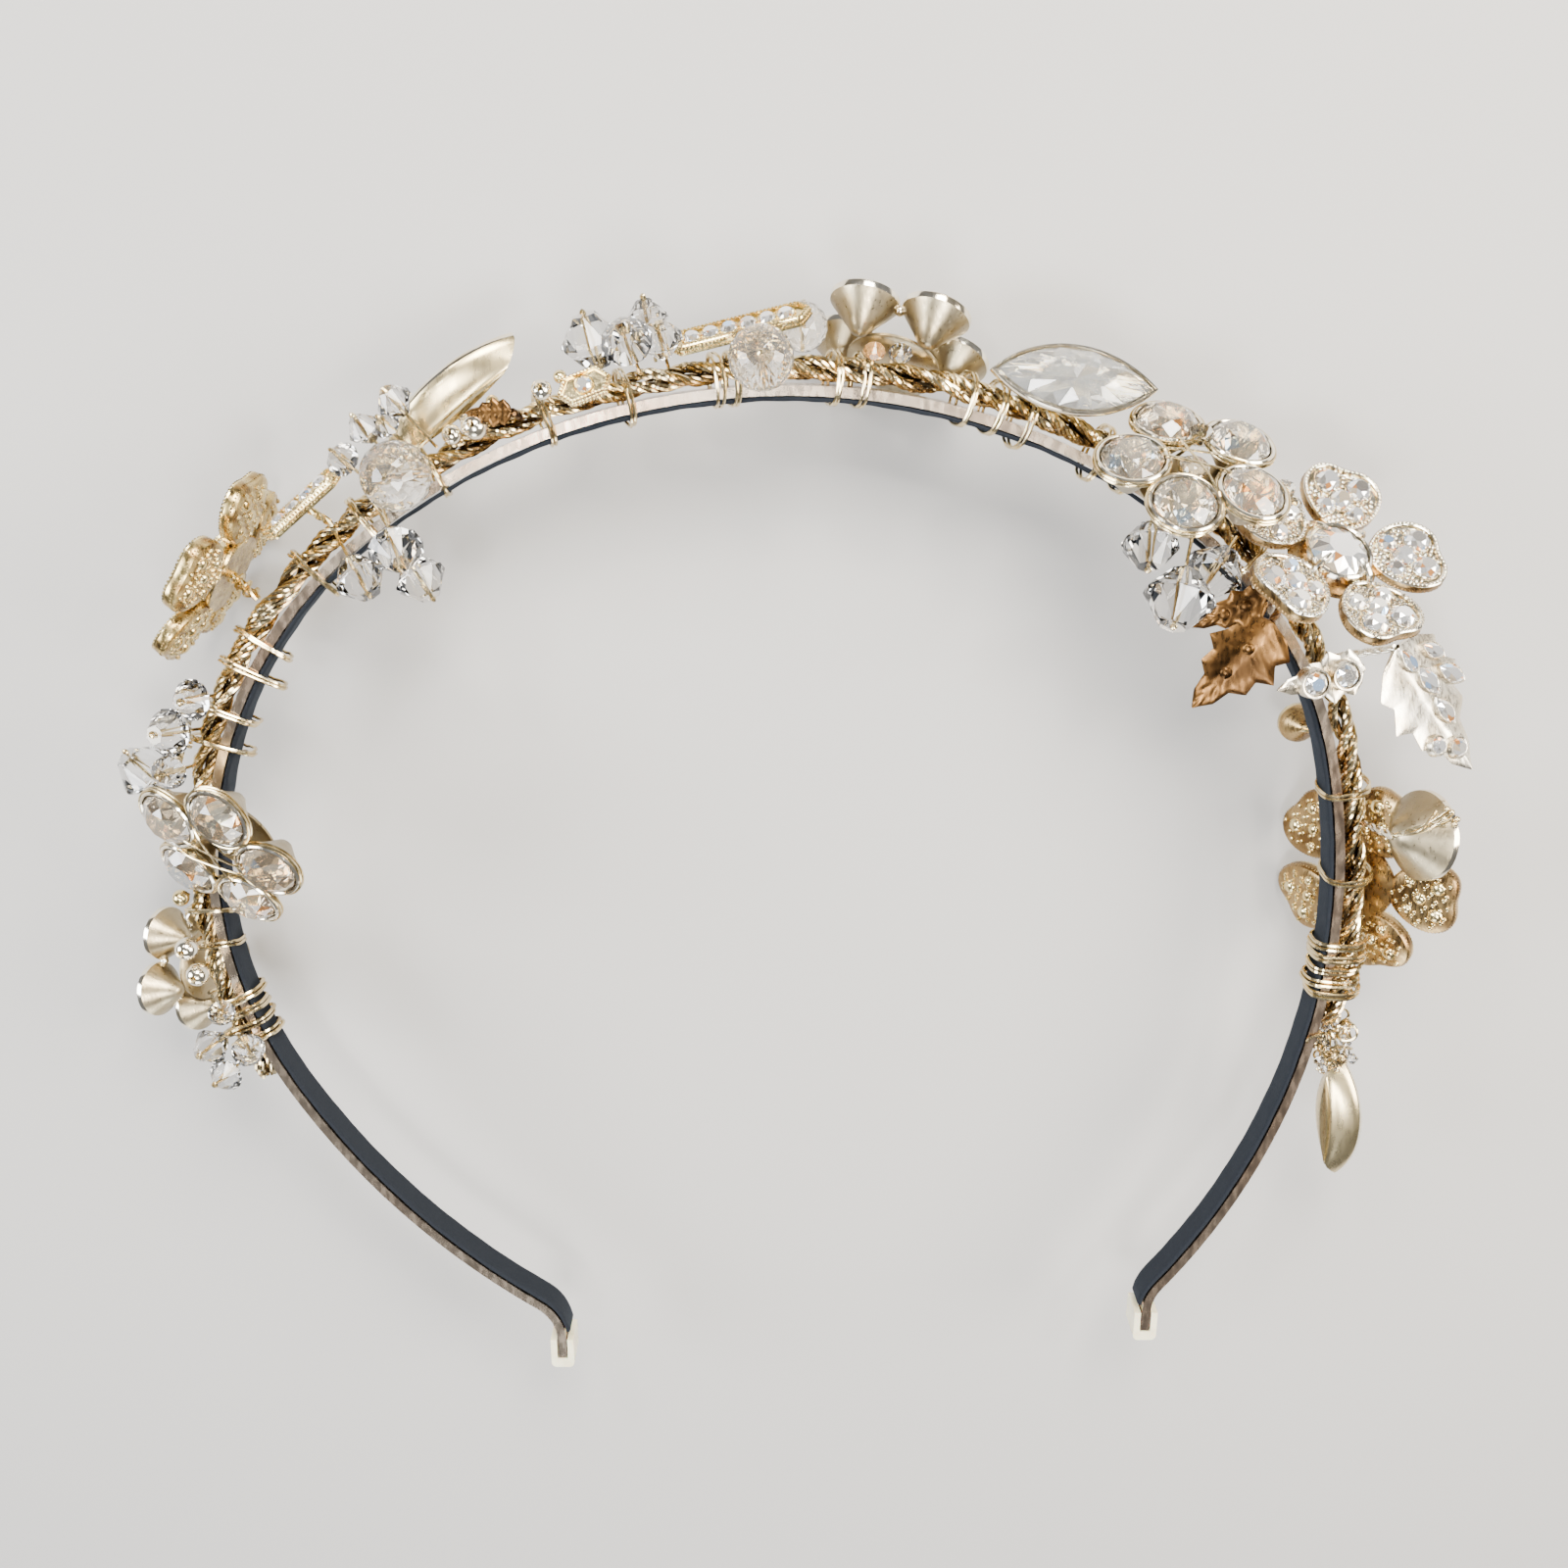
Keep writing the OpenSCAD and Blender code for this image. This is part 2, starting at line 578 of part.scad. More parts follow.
module bar_side() color(pale_gold) {
    seat(BAR_SIDE) bar_metal(bar_side_len);
    stem(BAR_SIDE);
}

module bar_side_stones() color(crystal) seat(BAR_SIDE) bar_stones(bar_side_len);

module bar_crest() color(pale_gold) {
    seat(BAR_CREST) bar_metal(bar_crest_len);
    stem(BAR_CREST);
}

module bar_crest_stones() color(crystal) seat(BAR_CREST) bar_stones(bar_crest_len);

boat_rim = 1.1;
boat_floor = 0.3;

// A boat setting with a ridged back, its stone's face to +Z and its length along X
module boat(length, w, n = 16) {
    l = length/2;
    h = w/2;
    loft([navette_ring(l*0.62, 0.25, -boat_depth, n), navette_ring(l*0.9, h*0.72, -0.9, n),
        navette_ring(l, h, 0, n), navette_ring(l, h, boat_rim, n),
        navette_ring(l - boat_wall*2, h - boat_wall, boat_rim, n),
        navette_ring(l - boat_wall*2, h - boat_wall, boat_floor, n)]);
}

// A navette stone with a table and crown facets, for the boat of the same size
module navette_stone(length, w, n = 16) {
    l = length/2 - boat_wall*2 - stone_gap*5;
    h = w/2 - boat_wall - stone_gap;
    base = boat_floor + stone_gap;
    loft([navette_ring(l, h, base, n), navette_ring(l, h, boat_rim + 0.1, n),
        navette_ring(l*0.82, h*0.72, boat_rim + 0.9, n),
        navette_ring(l*0.6, h*0.42, boat_rim + 1.4, n)]);
}

side_boat = [21, 7.6];
crest_boat = [20.5, 8.6];
drop_boat = [18.4, 6.9];

module navette_side() color(pale_gold) {
    seat(NAVETTE_SIDE) boat(side_boat[0], side_boat[1]);
    stem(NAVETTE_SIDE, 0);
}

module navette_side_stone() color(crystal)
    seat(NAVETTE_SIDE) navette_stone(side_boat[0], side_boat[1]);

module navette_crest() color(silver) {
    seat(NAVETTE_CREST) boat(crest_boat[0], crest_boat[1]);
    stem(NAVETTE_CREST, 0);
}

module navette_crest_stone() color(crystal)
    seat(NAVETTE_CREST) navette_stone(crest_boat[0], crest_boat[1]);

// A point of an unspun seat's own frame, in the local frame on the vine's axis
function seat_point(place, p) =
    let (swing = place[3], lean = place[4], y = p[1]*sin(lean) + p[2]*cos(lean))
    [p[0]*cos(swing) - y*sin(swing), place[1] + p[0]*sin(swing) + y*cos(swing),
        place[2] - p[1]*cos(lean) + p[2]*sin(lean)];

// The drop hangs from the vine's end by a rod into the top of its boat
module navette_drop() color(pale_gold) {
    seat(NAVETTE_DROP) boat(drop_boat[0], drop_boat[1]);
    top = seat_point(NAVETTE_DROP, [-drop_boat[0]*0.36, 0, -stem_d]);
    rod(from_strip(vine_end, [stem_gap + stem_d/2, vine_out, strip_mid]),
        from_strip(NAVETTE_DROP[0], top + [0, vine_out, strip_mid]), stem_d);
}

module navette_drop_stone() color(crystal)
    seat(NAVETTE_DROP) navette_stone(drop_boat[0], drop_boat[1]);

// A serrated leaf from its base at the origin to its tip on +X, folded along the midrib
module leaf(length, w) {
    for (side = [-1, 1]) rotate([side*leaf_fold, 0, 0]) linear_extrude(leaf_t)
        polygon(concat([[0, 0]], [for (e = LEAF_EDGE) [e[0]*length, side*e[1]*w/2]],
            [[length, 0]]));
    rod([0, 0, leaf_t/2], [length*0.9, 0, leaf_t/2], leaf_t);
    sphere(r = stem_d*0.7, $fn = 32);
}

inner_leaf = [14, 10.5];
low_leaf = [9.5, 5];
star_leaf = [11, 6.4];
spray_leaf = [20, 14];

module leaf_inner() color(brown_gold) {
    seat(LEAF_INNER) leaf(inner_leaf[0], inner_leaf[1]);
    stem(LEAF_INNER);
}

module leaf_low() color(brown_gold) {
    seat(LEAF_LOW) leaf(low_leaf[0], low_leaf[1]);
    stem(LEAF_LOW);
}

star_stone_r = 1.4;

// A small leaf with two round bezels
module leaf_star() color(silver) {
    seat(LEAF_STAR) {
        leaf(star_leaf[0], star_leaf[1]);
        each_star_stone() bezel(star_stone_r);
    }
    stem(LEAF_STAR);
}

bezel_floor = 1;
bezel_h = 1.9;

// A round bezel on a leaf, its back at the origin
module bezel(r) {
    difference() {
        cylinder(r = r + stone_gap + 0.3, h = bezel_h, $fn = 32);
        translate([0, 0, bezel_floor]) cylinder(r = r + stone_gap, h = bezel_h, $fn = 32);
    }
}

module each_star_stone() {
    for (at = [0.26, 0.62]) translate([star_leaf[0]*at, 0, leaf_t*0.6]) children();
}

module leaf_star_stones() color(crystal)
    seat(LEAF_STAR) each_star_stone() translate([0, 0, bezel_floor + stone_gap])
        small_stone(star_stone_r);

// The large leaf: a serrated plate on a box back, with round and pointed settings
module leaf_spray() color(silver) {
    seat(LEAF_SPRAY) {
        linear_extrude(leaf_t) spray_outline(1);
        translate([0, 0, -1.8]) linear_extrude(2) spray_outline(0.62);
    }
    stem(LEAF_SPRAY);
}

module spray_outline(k)
    polygon([for (e = LEAF_EDGE) [spray_leaf[0]*(0.5 + (e[0] - 0.5)*k), k*e[1]*spray_leaf[1]/2],
        for (i = [len(LEAF_EDGE) - 1:-1:0])
        [spray_leaf[0]*(0.5 + (LEAF_EDGE[i][0] - 0.5)*k), -k*LEAF_EDGE[i][1]*spray_leaf[1]/2]]);

module leaf_spray_stones() color(crystal)
    seat(LEAF_SPRAY) for (s = SPRAY_STONES)
        translate([spray_leaf[0]*s[0], s[1]*spray_leaf[1]/2, leaf_t + stone_gap])
            if (s[3]) loft([navette_ring(s[2]*1.25, s[2]*0.62, 0, 8),
                navette_ring(s[2]*1.25, s[2]*0.62, 0.5, 8),
                navette_ring(s[2]*0.7, s[2]*0.32, 1, 8)]);
            else small_stone(s[2]);

side_cup_r = 5.7;
back_cup_r = 2.6;
lone_cup_depth = 4.2;

module cup_side() color(silver) {
    seat(CUP_SIDE) cup(side_cup_r, lone_cup_depth, cup_rim);
    stem(CUP_SIDE);
}

module cup_side_stone() color(crystal)
    seat(CUP_SIDE) cup_stone(side_cup_r - cup_wall - stone_gap, lone_cup_depth, 10);

module cup_back() color(brown_gold) {
    seat(CUP_BACK) cup(back_cup_r, back_cup_r, cup_rim);
    stem(CUP_BACK);
}

module cup_back_stone() color(crystal)
    seat(CUP_BACK) cup_stone(back_cup_r - cup_wall - stone_gap, back_cup_r);

sprig_len = 6.4;

module sprig_plate() color(pale_gold) {
    seat(SPRIG_PLATE) bar_metal(sprig_len);
    stem(SPRIG_PLATE);
}

module sprig_plate_stones() color(crystal) seat(SPRIG_PLATE) bar_stones(sprig_len);

bar_plate_size = [8.4, 3, 1];

module bar_plate() color(silver) {
    seat(BAR_PLATE) translate(-bar_plate_size/2) cube(bar_plate_size);
    stem(BAR_PLATE);
}

// Middle of a bead and root of its stem, in the local frame on the vine's axis
function bead_middle(b) = [b[1], b[2], b[3]];
function bead_root(b) = stem_root(bead_middle(b));

// Moves its children to a bead's middle, their Z along its stem
module at_bead(b) {
    v = bead_middle(b) - bead_root(b);
    on_vine(b[0]) translate(bead_middle(b))
        rotate([0, acos(v[2]/norm(v)), atan2(v[1], v[0])]) children();
}

hole_r = bead_wire_d/2 + thread_gap;

// A cut bicone with a hole along Z
module bicone(r, n = 8)
    loft([circle_ring(r*0.32, -r*0.82, n), circle_ring(r, 0, n, 180/n),
        circle_ring(r*0.32, r*0.82, n), circle_ring(hole_r, r*0.82, n),
        circle_ring(hole_r, -r*0.82, n)], true);

// A round bead cut with bands of facets
module round_bead(r, n = 12)
    loft([for (lat = [-72:24:72]) circle_ring(r*cos(lat), r*sin(lat), n, (lat/24 % 2)*180/n),
        circle_ring(hole_r, r*sin(72), n), circle_ring(hole_r, -r*sin(72), n)], true);

module bicones(rows) for (b = rows) at_bead(b) bicone(b[4]);

module beads_tail() color(crystal) bicones(TAIL_BEADS);

module beads_side() color(crystal) bicones(SIDE_BEADS);

module beads_inner_left() color(crystal) bicones(INNER_LEFT_BEADS);

module beads_crest() color(crystal) bicones(CREST_BEADS);

module beads_inner_right() color(crystal) bicones(INNER_RIGHT_BEADS);

module bead_round_side() color(crystal) for (b = SIDE_ROUND) at_bead(b) round_bead(b[4]);

module beads_round_crest() color(crystal) for (b = CREST_ROUND) at_bead(b) round_bead(b[4]);

module beads_sprig() color(crystal) bicones(SPRIG_BEADS);

// Silver balls with a hole for their stem
module balls() color(silver)
    for (b = BALLS) at_bead(b) difference() {
        sphere(r = b[4], $fn = 32);
        cylinder(r = hole_r, h = 3*b[4], center = true, $fn = 24);
    }

// The stems of all beads, each from the vine through its bead
module bead_wires() color(pale_gold)
    for (b = concat(TAIL_BEADS, SIDE_BEADS, INNER_LEFT_BEADS, CREST_BEADS, INNER_RIGHT_BEADS,
        SIDE_ROUND, CREST_ROUND, SPRIG_BEADS, BALLS))
        on_vine(b[0]) wire([bead_root(b),
            bead_middle(b) + unit(bead_middle(b) - bead_root(b))*(b[4] + bead_wire_d)],
            bead_wire_d);

band();
lining();
tip_left();
tip_right();
vine();
bindings();
coil_left();
coil_right();
flower_tail();
flower_tail_stones();
flower_side();
flower_side_stones();
flower_crest();
flower_crest_stones();
flower_front();
flower_front_stones();
pave_front();
pave_front_stones();
pave_front_centre();
pave_side();
pave_side_stones();
pave_side_centre();
pave_back();
pave_back_stones();
pave_back_centre();
bar_side();
bar_side_stones();
bar_crest();
bar_crest_stones();
navette_side();
navette_side_stone();
navette_crest();
navette_crest_stone();
navette_drop();
navette_drop_stone();
leaf_inner();
leaf_low();
leaf_star();
leaf_star_stones();
leaf_spray();
leaf_spray_stones();
cup_side();
cup_side_stone();
cup_back();
cup_back_stone();
sprig_plate();
sprig_plate_stones();
bar_plate();
beads_tail();
beads_side();
beads_inner_left();
beads_crest();
beads_inner_right();
bead_round_side();
beads_round_crest();
beads_sprig();
balls();
bead_wires();
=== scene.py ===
import math
import random

import bpy
from mathutils import Matrix, Vector


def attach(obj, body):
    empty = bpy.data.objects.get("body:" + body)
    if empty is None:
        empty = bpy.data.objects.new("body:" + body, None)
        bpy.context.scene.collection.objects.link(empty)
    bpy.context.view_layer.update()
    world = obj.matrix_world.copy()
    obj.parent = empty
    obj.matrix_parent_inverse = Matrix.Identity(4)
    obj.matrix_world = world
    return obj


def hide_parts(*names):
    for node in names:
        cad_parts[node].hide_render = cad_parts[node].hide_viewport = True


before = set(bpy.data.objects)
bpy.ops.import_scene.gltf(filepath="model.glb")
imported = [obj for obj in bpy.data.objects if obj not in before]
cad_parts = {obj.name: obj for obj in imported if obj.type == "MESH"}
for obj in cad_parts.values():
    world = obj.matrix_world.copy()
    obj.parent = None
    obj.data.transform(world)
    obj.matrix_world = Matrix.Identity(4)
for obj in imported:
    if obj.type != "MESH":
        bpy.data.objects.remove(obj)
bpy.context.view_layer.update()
MM = 0.001

# Camera and studio
# The camera looks down on the diadem's front edge, a little from the crown. Soft panels and a dim
# room light it from above and from the sides, over a plain pale floor.
CAMERA_AT = Vector((-0.7, 75.4, 207.4))
CAMERA_TILT = math.radians(18)
LENS = 36
FLOOR_SIDE = 1600
ROOM_LOW, ROOM_HIGH, ROOM_GLOW = (0.34, 0.34, 0.35, 1), (0.34, 0.35, 0.37, 1), 0.6

camera_data = bpy.data.cameras.new("camera")
camera_data.sensor_width = LENS
camera_data.lens = LENS
camera_data.clip_start = 10 * MM
camera = bpy.data.objects.new("camera", camera_data)
camera.location = CAMERA_AT * MM
camera.rotation_euler = (-CAMERA_TILT, 0, 0)
bpy.context.scene.collection.objects.link(camera)
bpy.context.scene.camera = camera


def soft_panel(name, at, target, side, power, colour):
    """A square area light, aimed at a place on the diadem."""
    data = bpy.data.lights.new(name, "AREA")
    data.shape = "SQUARE"
    data.size = side * MM
    data.energy = power
    data.color = colour
    lamp = bpy.data.objects.new(name, data)
    lamp.location = Vector(at) * MM
    lamp.rotation_euler = (Vector(target) - Vector(at)).to_track_quat("-Z", "Y").to_euler()
    bpy.context.scene.collection.objects.link(lamp)


soft_panel("panel_crown", (60, 330, 330), (0, 20, 10), 190, 5.6, (1, 0.95, 0.86))
soft_panel("panel_left", (-420, 60, 260), (-20, 10, 10), 240, 4.2, (0.92, 0.96, 1))
soft_panel("panel_right", (390, 60, 270), (20, 0, 10), 220, 4.2, (1, 0.94, 0.84))
soft_panel("glint_left", (-160, 330, 300), (0, 20, 10), 34, 0.55, (1, 0.98, 0.94))
soft_panel("glint_right", (250, 200, 360), (20, 0, 10), 34, 0.55, (1, 0.96, 0.9))
soft_panel("glint_front", (-90, 40, 460), (0, 0, 10), 34, 0.45, (0.94, 0.97, 1))
soft_panel("panel_top", (20, -95, 430), (0, 0, 10), 130, 1.9, (1, 0.98, 0.95))
soft_panel("panel_low", (-60, -420, 160), (0, 0, 10), 220, 1.2, (0.92, 0.96, 1))


def new_node(tree, kind, values=None, **settings):
    """A shader node with its settings, and with values on some of its inputs."""
    node = tree.nodes.new("ShaderNode" + kind)
    for setting, value in settings.items():
        setattr(node, setting, value)
    for socket, value in (values or {}).items():
        node.inputs[socket].default_value = value
    return node


def link(tree, *wires):
    """Links nodes: each wire is a node, its output, the next node and its input."""
    for node, output, after, entry in wires:
        tree.links.new(node.outputs[output], after.inputs[entry])


def new_finish(name, constants):
    """A material, its node tree and its shader, whose own sockets hold the constants."""
    finish = bpy.data.materials.new(name)
    finish.use_nodes = True
    skin = finish.node_tree.nodes["Principled BSDF"]
    for socket, value in constants.items():
        skin.inputs[socket].default_value = value
    return finish, finish.node_tree, skin


room = bpy.data.worlds.new("room")
room.use_nodes = True
bpy.context.scene.world = room
room_way = new_node(room.node_tree, "TexCoord")
room_split = new_node(room.node_tree, "SeparateXYZ")
room_ramp = new_node(room.node_tree, "ValToRGB")
room_back = room.node_tree.nodes["Background"]
link(room.node_tree, (room_way, "Generated", room_split, 0), (room_split, "Z", room_ramp, 0),
    (room_ramp, "Color", room_back, "Color"))
for stop, position, colour in zip(room_ramp.color_ramp.elements, (0, 0.9), (ROOM_LOW, ROOM_HIGH)):
    stop.position = position
    stop.color = colour
room_back.inputs["Strength"].default_value = ROOM_GLOW

half_floor = FLOOR_SIDE / 2 * MM
floor_mesh = bpy.data.meshes.new("floor")
floor_mesh.from_pydata([(-half_floor, -half_floor, 0), (half_floor, -half_floor, 0),
    (half_floor, half_floor, 0), (-half_floor, half_floor, 0)], [], [(0, 1, 2, 3)])
floor = bpy.data.objects.new("floor", floor_mesh)
bpy.context.scene.collection.objects.link(floor)
floor_mesh.materials.append(new_finish("floor_paint", {"Base Color": (0.38, 0.37, 0.36, 1),
    "Roughness": 0.85, "Specular IOR Level": 0.2})[0])

# The sprung strip
# A flat spring-steel strip, plated silver, bent over the head in long arcs. Its colour is a rosy
# bronze painted reflection of brown surroundings, patchy with wear. Its rounded edges catch the light
# as one line along the whole diadem.
STRIP_W, STRIP_T, STRIP_LIFT, CROWN_H = 4.6, 1.2, 12.7, 62.4
STRIP_MID = STRIP_LIFT + STRIP_W / 2
EDGE_ROUND = 0.5
END_BEND_R, END_STRAIGHT = 7, 3
RIGHT_ARCS = [(82, 38), (52.4, 37.5), (90.6, 52.5)]
LEFT_ARCS = [(86, 37.5), (58, 81.5), (104, 26.5)]
for arcs in (RIGHT_ARCS, LEFT_ARCS):
    arcs.append((END_BEND_R, 90 - sum(sweep for _, sweep in arcs)))


def arc_run(arc):
    return arc[0] * math.radians(abs(arc[1]))


def half_run(arcs):
    return END_STRAIGHT + sum(arc_run(arc) for arc in arcs)


def walk(arcs, run):
    """Place and heading on the strip's middle line after a run from the crown."""
    x, y, heading = 0.0, CROWN_H, 0.0
    for arc in arcs:
        radius = math.copysign(arc[0], arc[1])
        part = min(run, arc_run(arc))
        turned = heading - part / radius
        x += radius * (math.sin(heading) - math.sin(turned))
        y += radius * (math.cos(turned) - math.cos(heading))
        heading = turned
        run -= part
        if run <= 0:
            break
    run = max(run, 0)
    return x + run * math.cos(heading), y + run * math.sin(heading), heading


def strip_at(share):
    """Place and heading at a share of a half: 0 is the crown, 1 the right tip, -1 the left."""
    if share >= 0:
        return walk(RIGHT_ARCS, share * half_run(RIGHT_ARCS))
    x, y, heading = walk(LEFT_ARCS, -share * half_run(LEFT_ARCS))
    return -x, y, -heading


def from_strip(share, along, out, rise):
    """A point beside the strip: along it, outward from it and to the front of its middle."""
    x, y, heading = strip_at(share)
    return Vector((x + along * math.cos(heading) - out * math.sin(heading),
        y + along * math.sin(heading) + out * math.cos(heading), STRIP_MID + rise))


# The sockets of a Mix node for colours go by number.
MIX_A, MIX_B, MIXED = 6, 7, 2


def new_group(name, inputs, outputs):
    """A shader node group with named inputs and outputs: (name, kind, value) and (name, kind)."""
    group = bpy.data.node_groups.new(name, "ShaderNodeTree")
    for label, kind, value in inputs:
        socket = group.interface.new_socket(label, in_out="INPUT", socket_type="NodeSocket" + kind)
        socket.default_value = value
    for label, kind in outputs:
        group.interface.new_socket(label, in_out="OUTPUT", socket_type="NodeSocket" + kind)
    return group, group.nodes.new("NodeGroupInput"), group.nodes.new("NodeGroupOutput")


def noise_in(group, source, scale_socket, detail, stretch=(1, 1, 1)):
    """A noise texture in a group, in the object's own metres, with its scale from a socket."""
    where = new_node(group, "TexCoord")
    squeeze = new_node(group, "Mapping", {"Scale": stretch})
    noise = new_node(group, "TexNoise", {"Detail": detail})
    link(group, (where, "Object", squeeze, "Vector"), (squeeze, "Vector", noise, "Vector"),
        (source, scale_socket, noise, "Scale"))
    return noise


def tarnish_and_shade_group():
    """Uneven plating: a colour that drifts between two tones, and painted shade that darkens it where
    a face lies deep.
    """
    group, source, sink = new_group("tarnish_and_shade", [("Clean", "Color", (1, 1, 1, 1)),
        ("Worn", "Color", (0.5, 0.4, 0.3, 1)), ("Patch Scale", "Float", 260.0),
        ("Wear", "Float", 0.5)], [("Color", "Color")])
    noise = noise_in(group, source, "Patch Scale", 6)
    steep = new_node(group, "MapRange", {"From Min": 0.42, "From Max": 0.66})
    worn = new_node(group, "Math", operation="MULTIPLY")
    tones = new_node(group, "Mix", data_type="RGBA")
    # Painted shade: a face's depth, held in the facet attribute, multiplies its colour towards dark
    # brown.
    deep = new_node(group, "Attribute", attribute_name="facet")
    shade = new_node(group, "Mix", {MIX_B: (0.17, 0.13, 0.08, 1)}, data_type="RGBA",
        blend_type="MULTIPLY")
    link(group, (noise, "Fac", steep, "Value"), (steep, "Result", worn, 0),
        (source, "Wear", worn, 1), (worn, 0, tones, "Factor"), (source, "Clean", tones, MIX_A),
        (source, "Worn", tones, MIX_B), (deep, "Fac", shade, "Factor"),
        (tones, MIXED, shade, MIX_A), (shade, MIXED, sink, "Color"))
    return group


def brushing_group():
    """Fine rubbed lines: a roughness that varies along them and a height for a bump."""
    group, source, sink = new_group("brushing", [("Line Scale", "Float", 2600.0),
        ("Smooth", "Float", 0.15), ("Rough", "Float", 0.35)],
        [("Roughness", "Float"), ("Height", "Float")])
    noise = noise_in(group, source, "Line Scale", 3, (1, 0.35, 1.6))
    spread = new_node(group, "MapRange", {"From Min": 0.3, "From Max": 0.7})
    link(group, (noise, "Fac", spread, "Value"), (source, "Smooth", spread, "To Min"),
        (source, "Rough", spread, "To Max"), (spread, "Result", sink, "Roughness"),
        (noise, "Fac", sink, "Height"))
    return group


TARNISH_AND_SHADE = tarnish_and_shade_group()
BRUSHING = brushing_group()


def metal(name, clean, worn, wear, smooth, rough, line_scale=2600.0, patch_scale=260.0, bump=0.12):
    """Plated metal with its own uneven colour, painted shade where a face lies deep, and rubbed
    lines.
    """
    finish, tree, skin = new_finish(name, {"Metallic": 1.0})
    plating_and_shade = new_node(tree, "Group", {"Clean": (*clean, 1), "Worn": (*worn, 1), "Wear": wear,
        "Patch Scale": patch_scale}, node_tree=TARNISH_AND_SHADE)
    lines = new_node(tree, "Group", {"Line Scale": line_scale, "Smooth": smooth, "Rough": rough},
        node_tree=BRUSHING)
    relief = new_node(tree, "Bump", {"Strength": bump, "Distance": 0.05 * MM})
    link(tree, (plating_and_shade, "Color", skin, "Base Color"), (lines, "Roughness", skin, "Roughness"),
        (lines, "Height", relief, "Height"), (relief, "Normal", skin, "Normal"))
    return finish


# Painted reflection: the silver is coloured rosy bronze for the brown surroundings it reflects, with
# patches of wear.
STRIP_STEEL_AND_REFLECTION = metal("strip_steel_and_reflection", (0.57, 0.46, 0.35), (0.35, 0.23, 0.15), 0.8, 0.18, 0.32,
    1400, 45, 0.04)


def dress_node(name, finish, rounding=0.0):
    """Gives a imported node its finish, and rounds its sharp edges by a modifier."""
    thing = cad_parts[name]
    thing.data.materials.clear()
    thing.data.materials.append(finish)
    if rounding:
        soften = thing.modifiers.new("rounded_edges", "BEVEL")
        soften.width = rounding * MM
        soften.segments = 3
        soften.limit_method = "ANGLE"
        soften.angle_limit = math.radians(40)
        soften.harden_normals = True


dress_node("band", STRIP_STEEL_AND_REFLECTION, EDGE_ROUND)

# The ribbon
# Dark blue-grey velvet ribbon glued inside the strip so that it doesn't rub the hair. It has a
# short pile, rounded edges and small puckers where the glue holds it.
RIBBON_W, RIBBON_T, LAY_GAP, TIP_DEPTH = 4.2, 0.5, 0.15, 3
RIBBON_CUT = TIP_DEPTH + 1
RIBBON_STEPS = 620
RIBBON_PUCKER = 0.035
RIBBON_EDGE = [(0, 0.5), (-0.24, 0.5), (-0.64, 0.49), (-0.9, 0.46), (-1, 0.4), (-1, 0.2)]


def new_heap():
    return {"points": [], "faces": [], "tones": [], "kinds": []}


def pour(heap, points, faces, tone=0.0, kind=0):
    """Adds points and faces to a heap; tone is a number per face, or one for all."""
    start = len(heap["points"])
    heap["points"].extend(points)
    heap["faces"].extend([[start + i for i in face] for face in faces])
    heap["tones"].extend(tone if isinstance(tone, list) else [tone] * len(faces))
    heap["kinds"].extend([kind] * len(faces))


def lattice(rows, columns, close_rows=False, close_columns=True):
    """Faces of a grid of points, given row by row."""
    faces = []
    for i in range(rows if close_rows else rows - 1):
        for k in range(columns if close_columns else columns - 1):
            a, b = i * columns + k, i * columns + (k + 1) % columns
            over = (i + 1) % rows * columns
            faces.append((a, b, over + (k + 1) % columns, over + k))
    return faces


def settle(heap, name, finishes, slot, replaces=(), smooth=40):
    """Makes a heap into a piece of the diadem. smooth is the sharpest angle that stays soft."""
    mesh = bpy.data.meshes.new(name)
    mesh.from_pydata([tuple(Vector(p) * MM) for p in heap["points"]], [], heap["faces"])
    for finish in finishes:
        mesh.materials.append(finish)
    mesh.polygons.foreach_set("material_index", heap["kinds"])
    # The facet attribute picks each cut facet's painted reflection colour, and how much painted shade
    # a deep wire gets.
    tones = mesh.attributes.new("facet", "FLOAT", "FACE")
    tones.data.foreach_set("value", heap["tones"])
    mesh.update()
    if smooth:
        mesh.shade_smooth()
        mesh.set_sharp_from_angle(angle=math.radians(smooth))
    else:
        mesh.shade_flat()
    thing = bpy.data.objects.new(name, mesh)
    bpy.context.scene.collection.objects.link(thing)
    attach(thing, "root")
    if replaces:
        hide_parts(*replaces)


ribbon = new_heap()
ribbon_top = -STRIP_T / 2 - LAY_GAP
first_share = -(1 - RIBBON_CUT / half_run(LEFT_ARCS))
last_share = 1 - RIBBON_CUT / half_run(RIGHT_ARCS)
ribbon_section = RIBBON_EDGE + [(-1, 0)] + [(out, -rise) for out, rise in reversed(RIBBON_EDGE)]
columns = len(ribbon_section)
ribbon_points = []
for i in range(RIBBON_STEPS + 1):
    share = first_share + (last_share - first_share) * i / RIBBON_STEPS
    pucker = RIBBON_PUCKER * (math.sin(i * 0.83) + math.sin(i * 0.31 + 1))
    for out, rise in ribbon_section:
        wave = pucker if abs(rise) < 0.45 else pucker / 2
        ribbon_points.append(from_strip(share, 0, ribbon_top + out * RIBBON_T + wave
            - RIBBON_PUCKER, rise * RIBBON_W))
pour(ribbon, ribbon_points, lattice(RIBBON_STEPS + 1, columns))
for k in (0, RIBBON_STEPS * columns):
    pour(ribbon, ribbon_points[k:k + columns], [list(range(columns))])


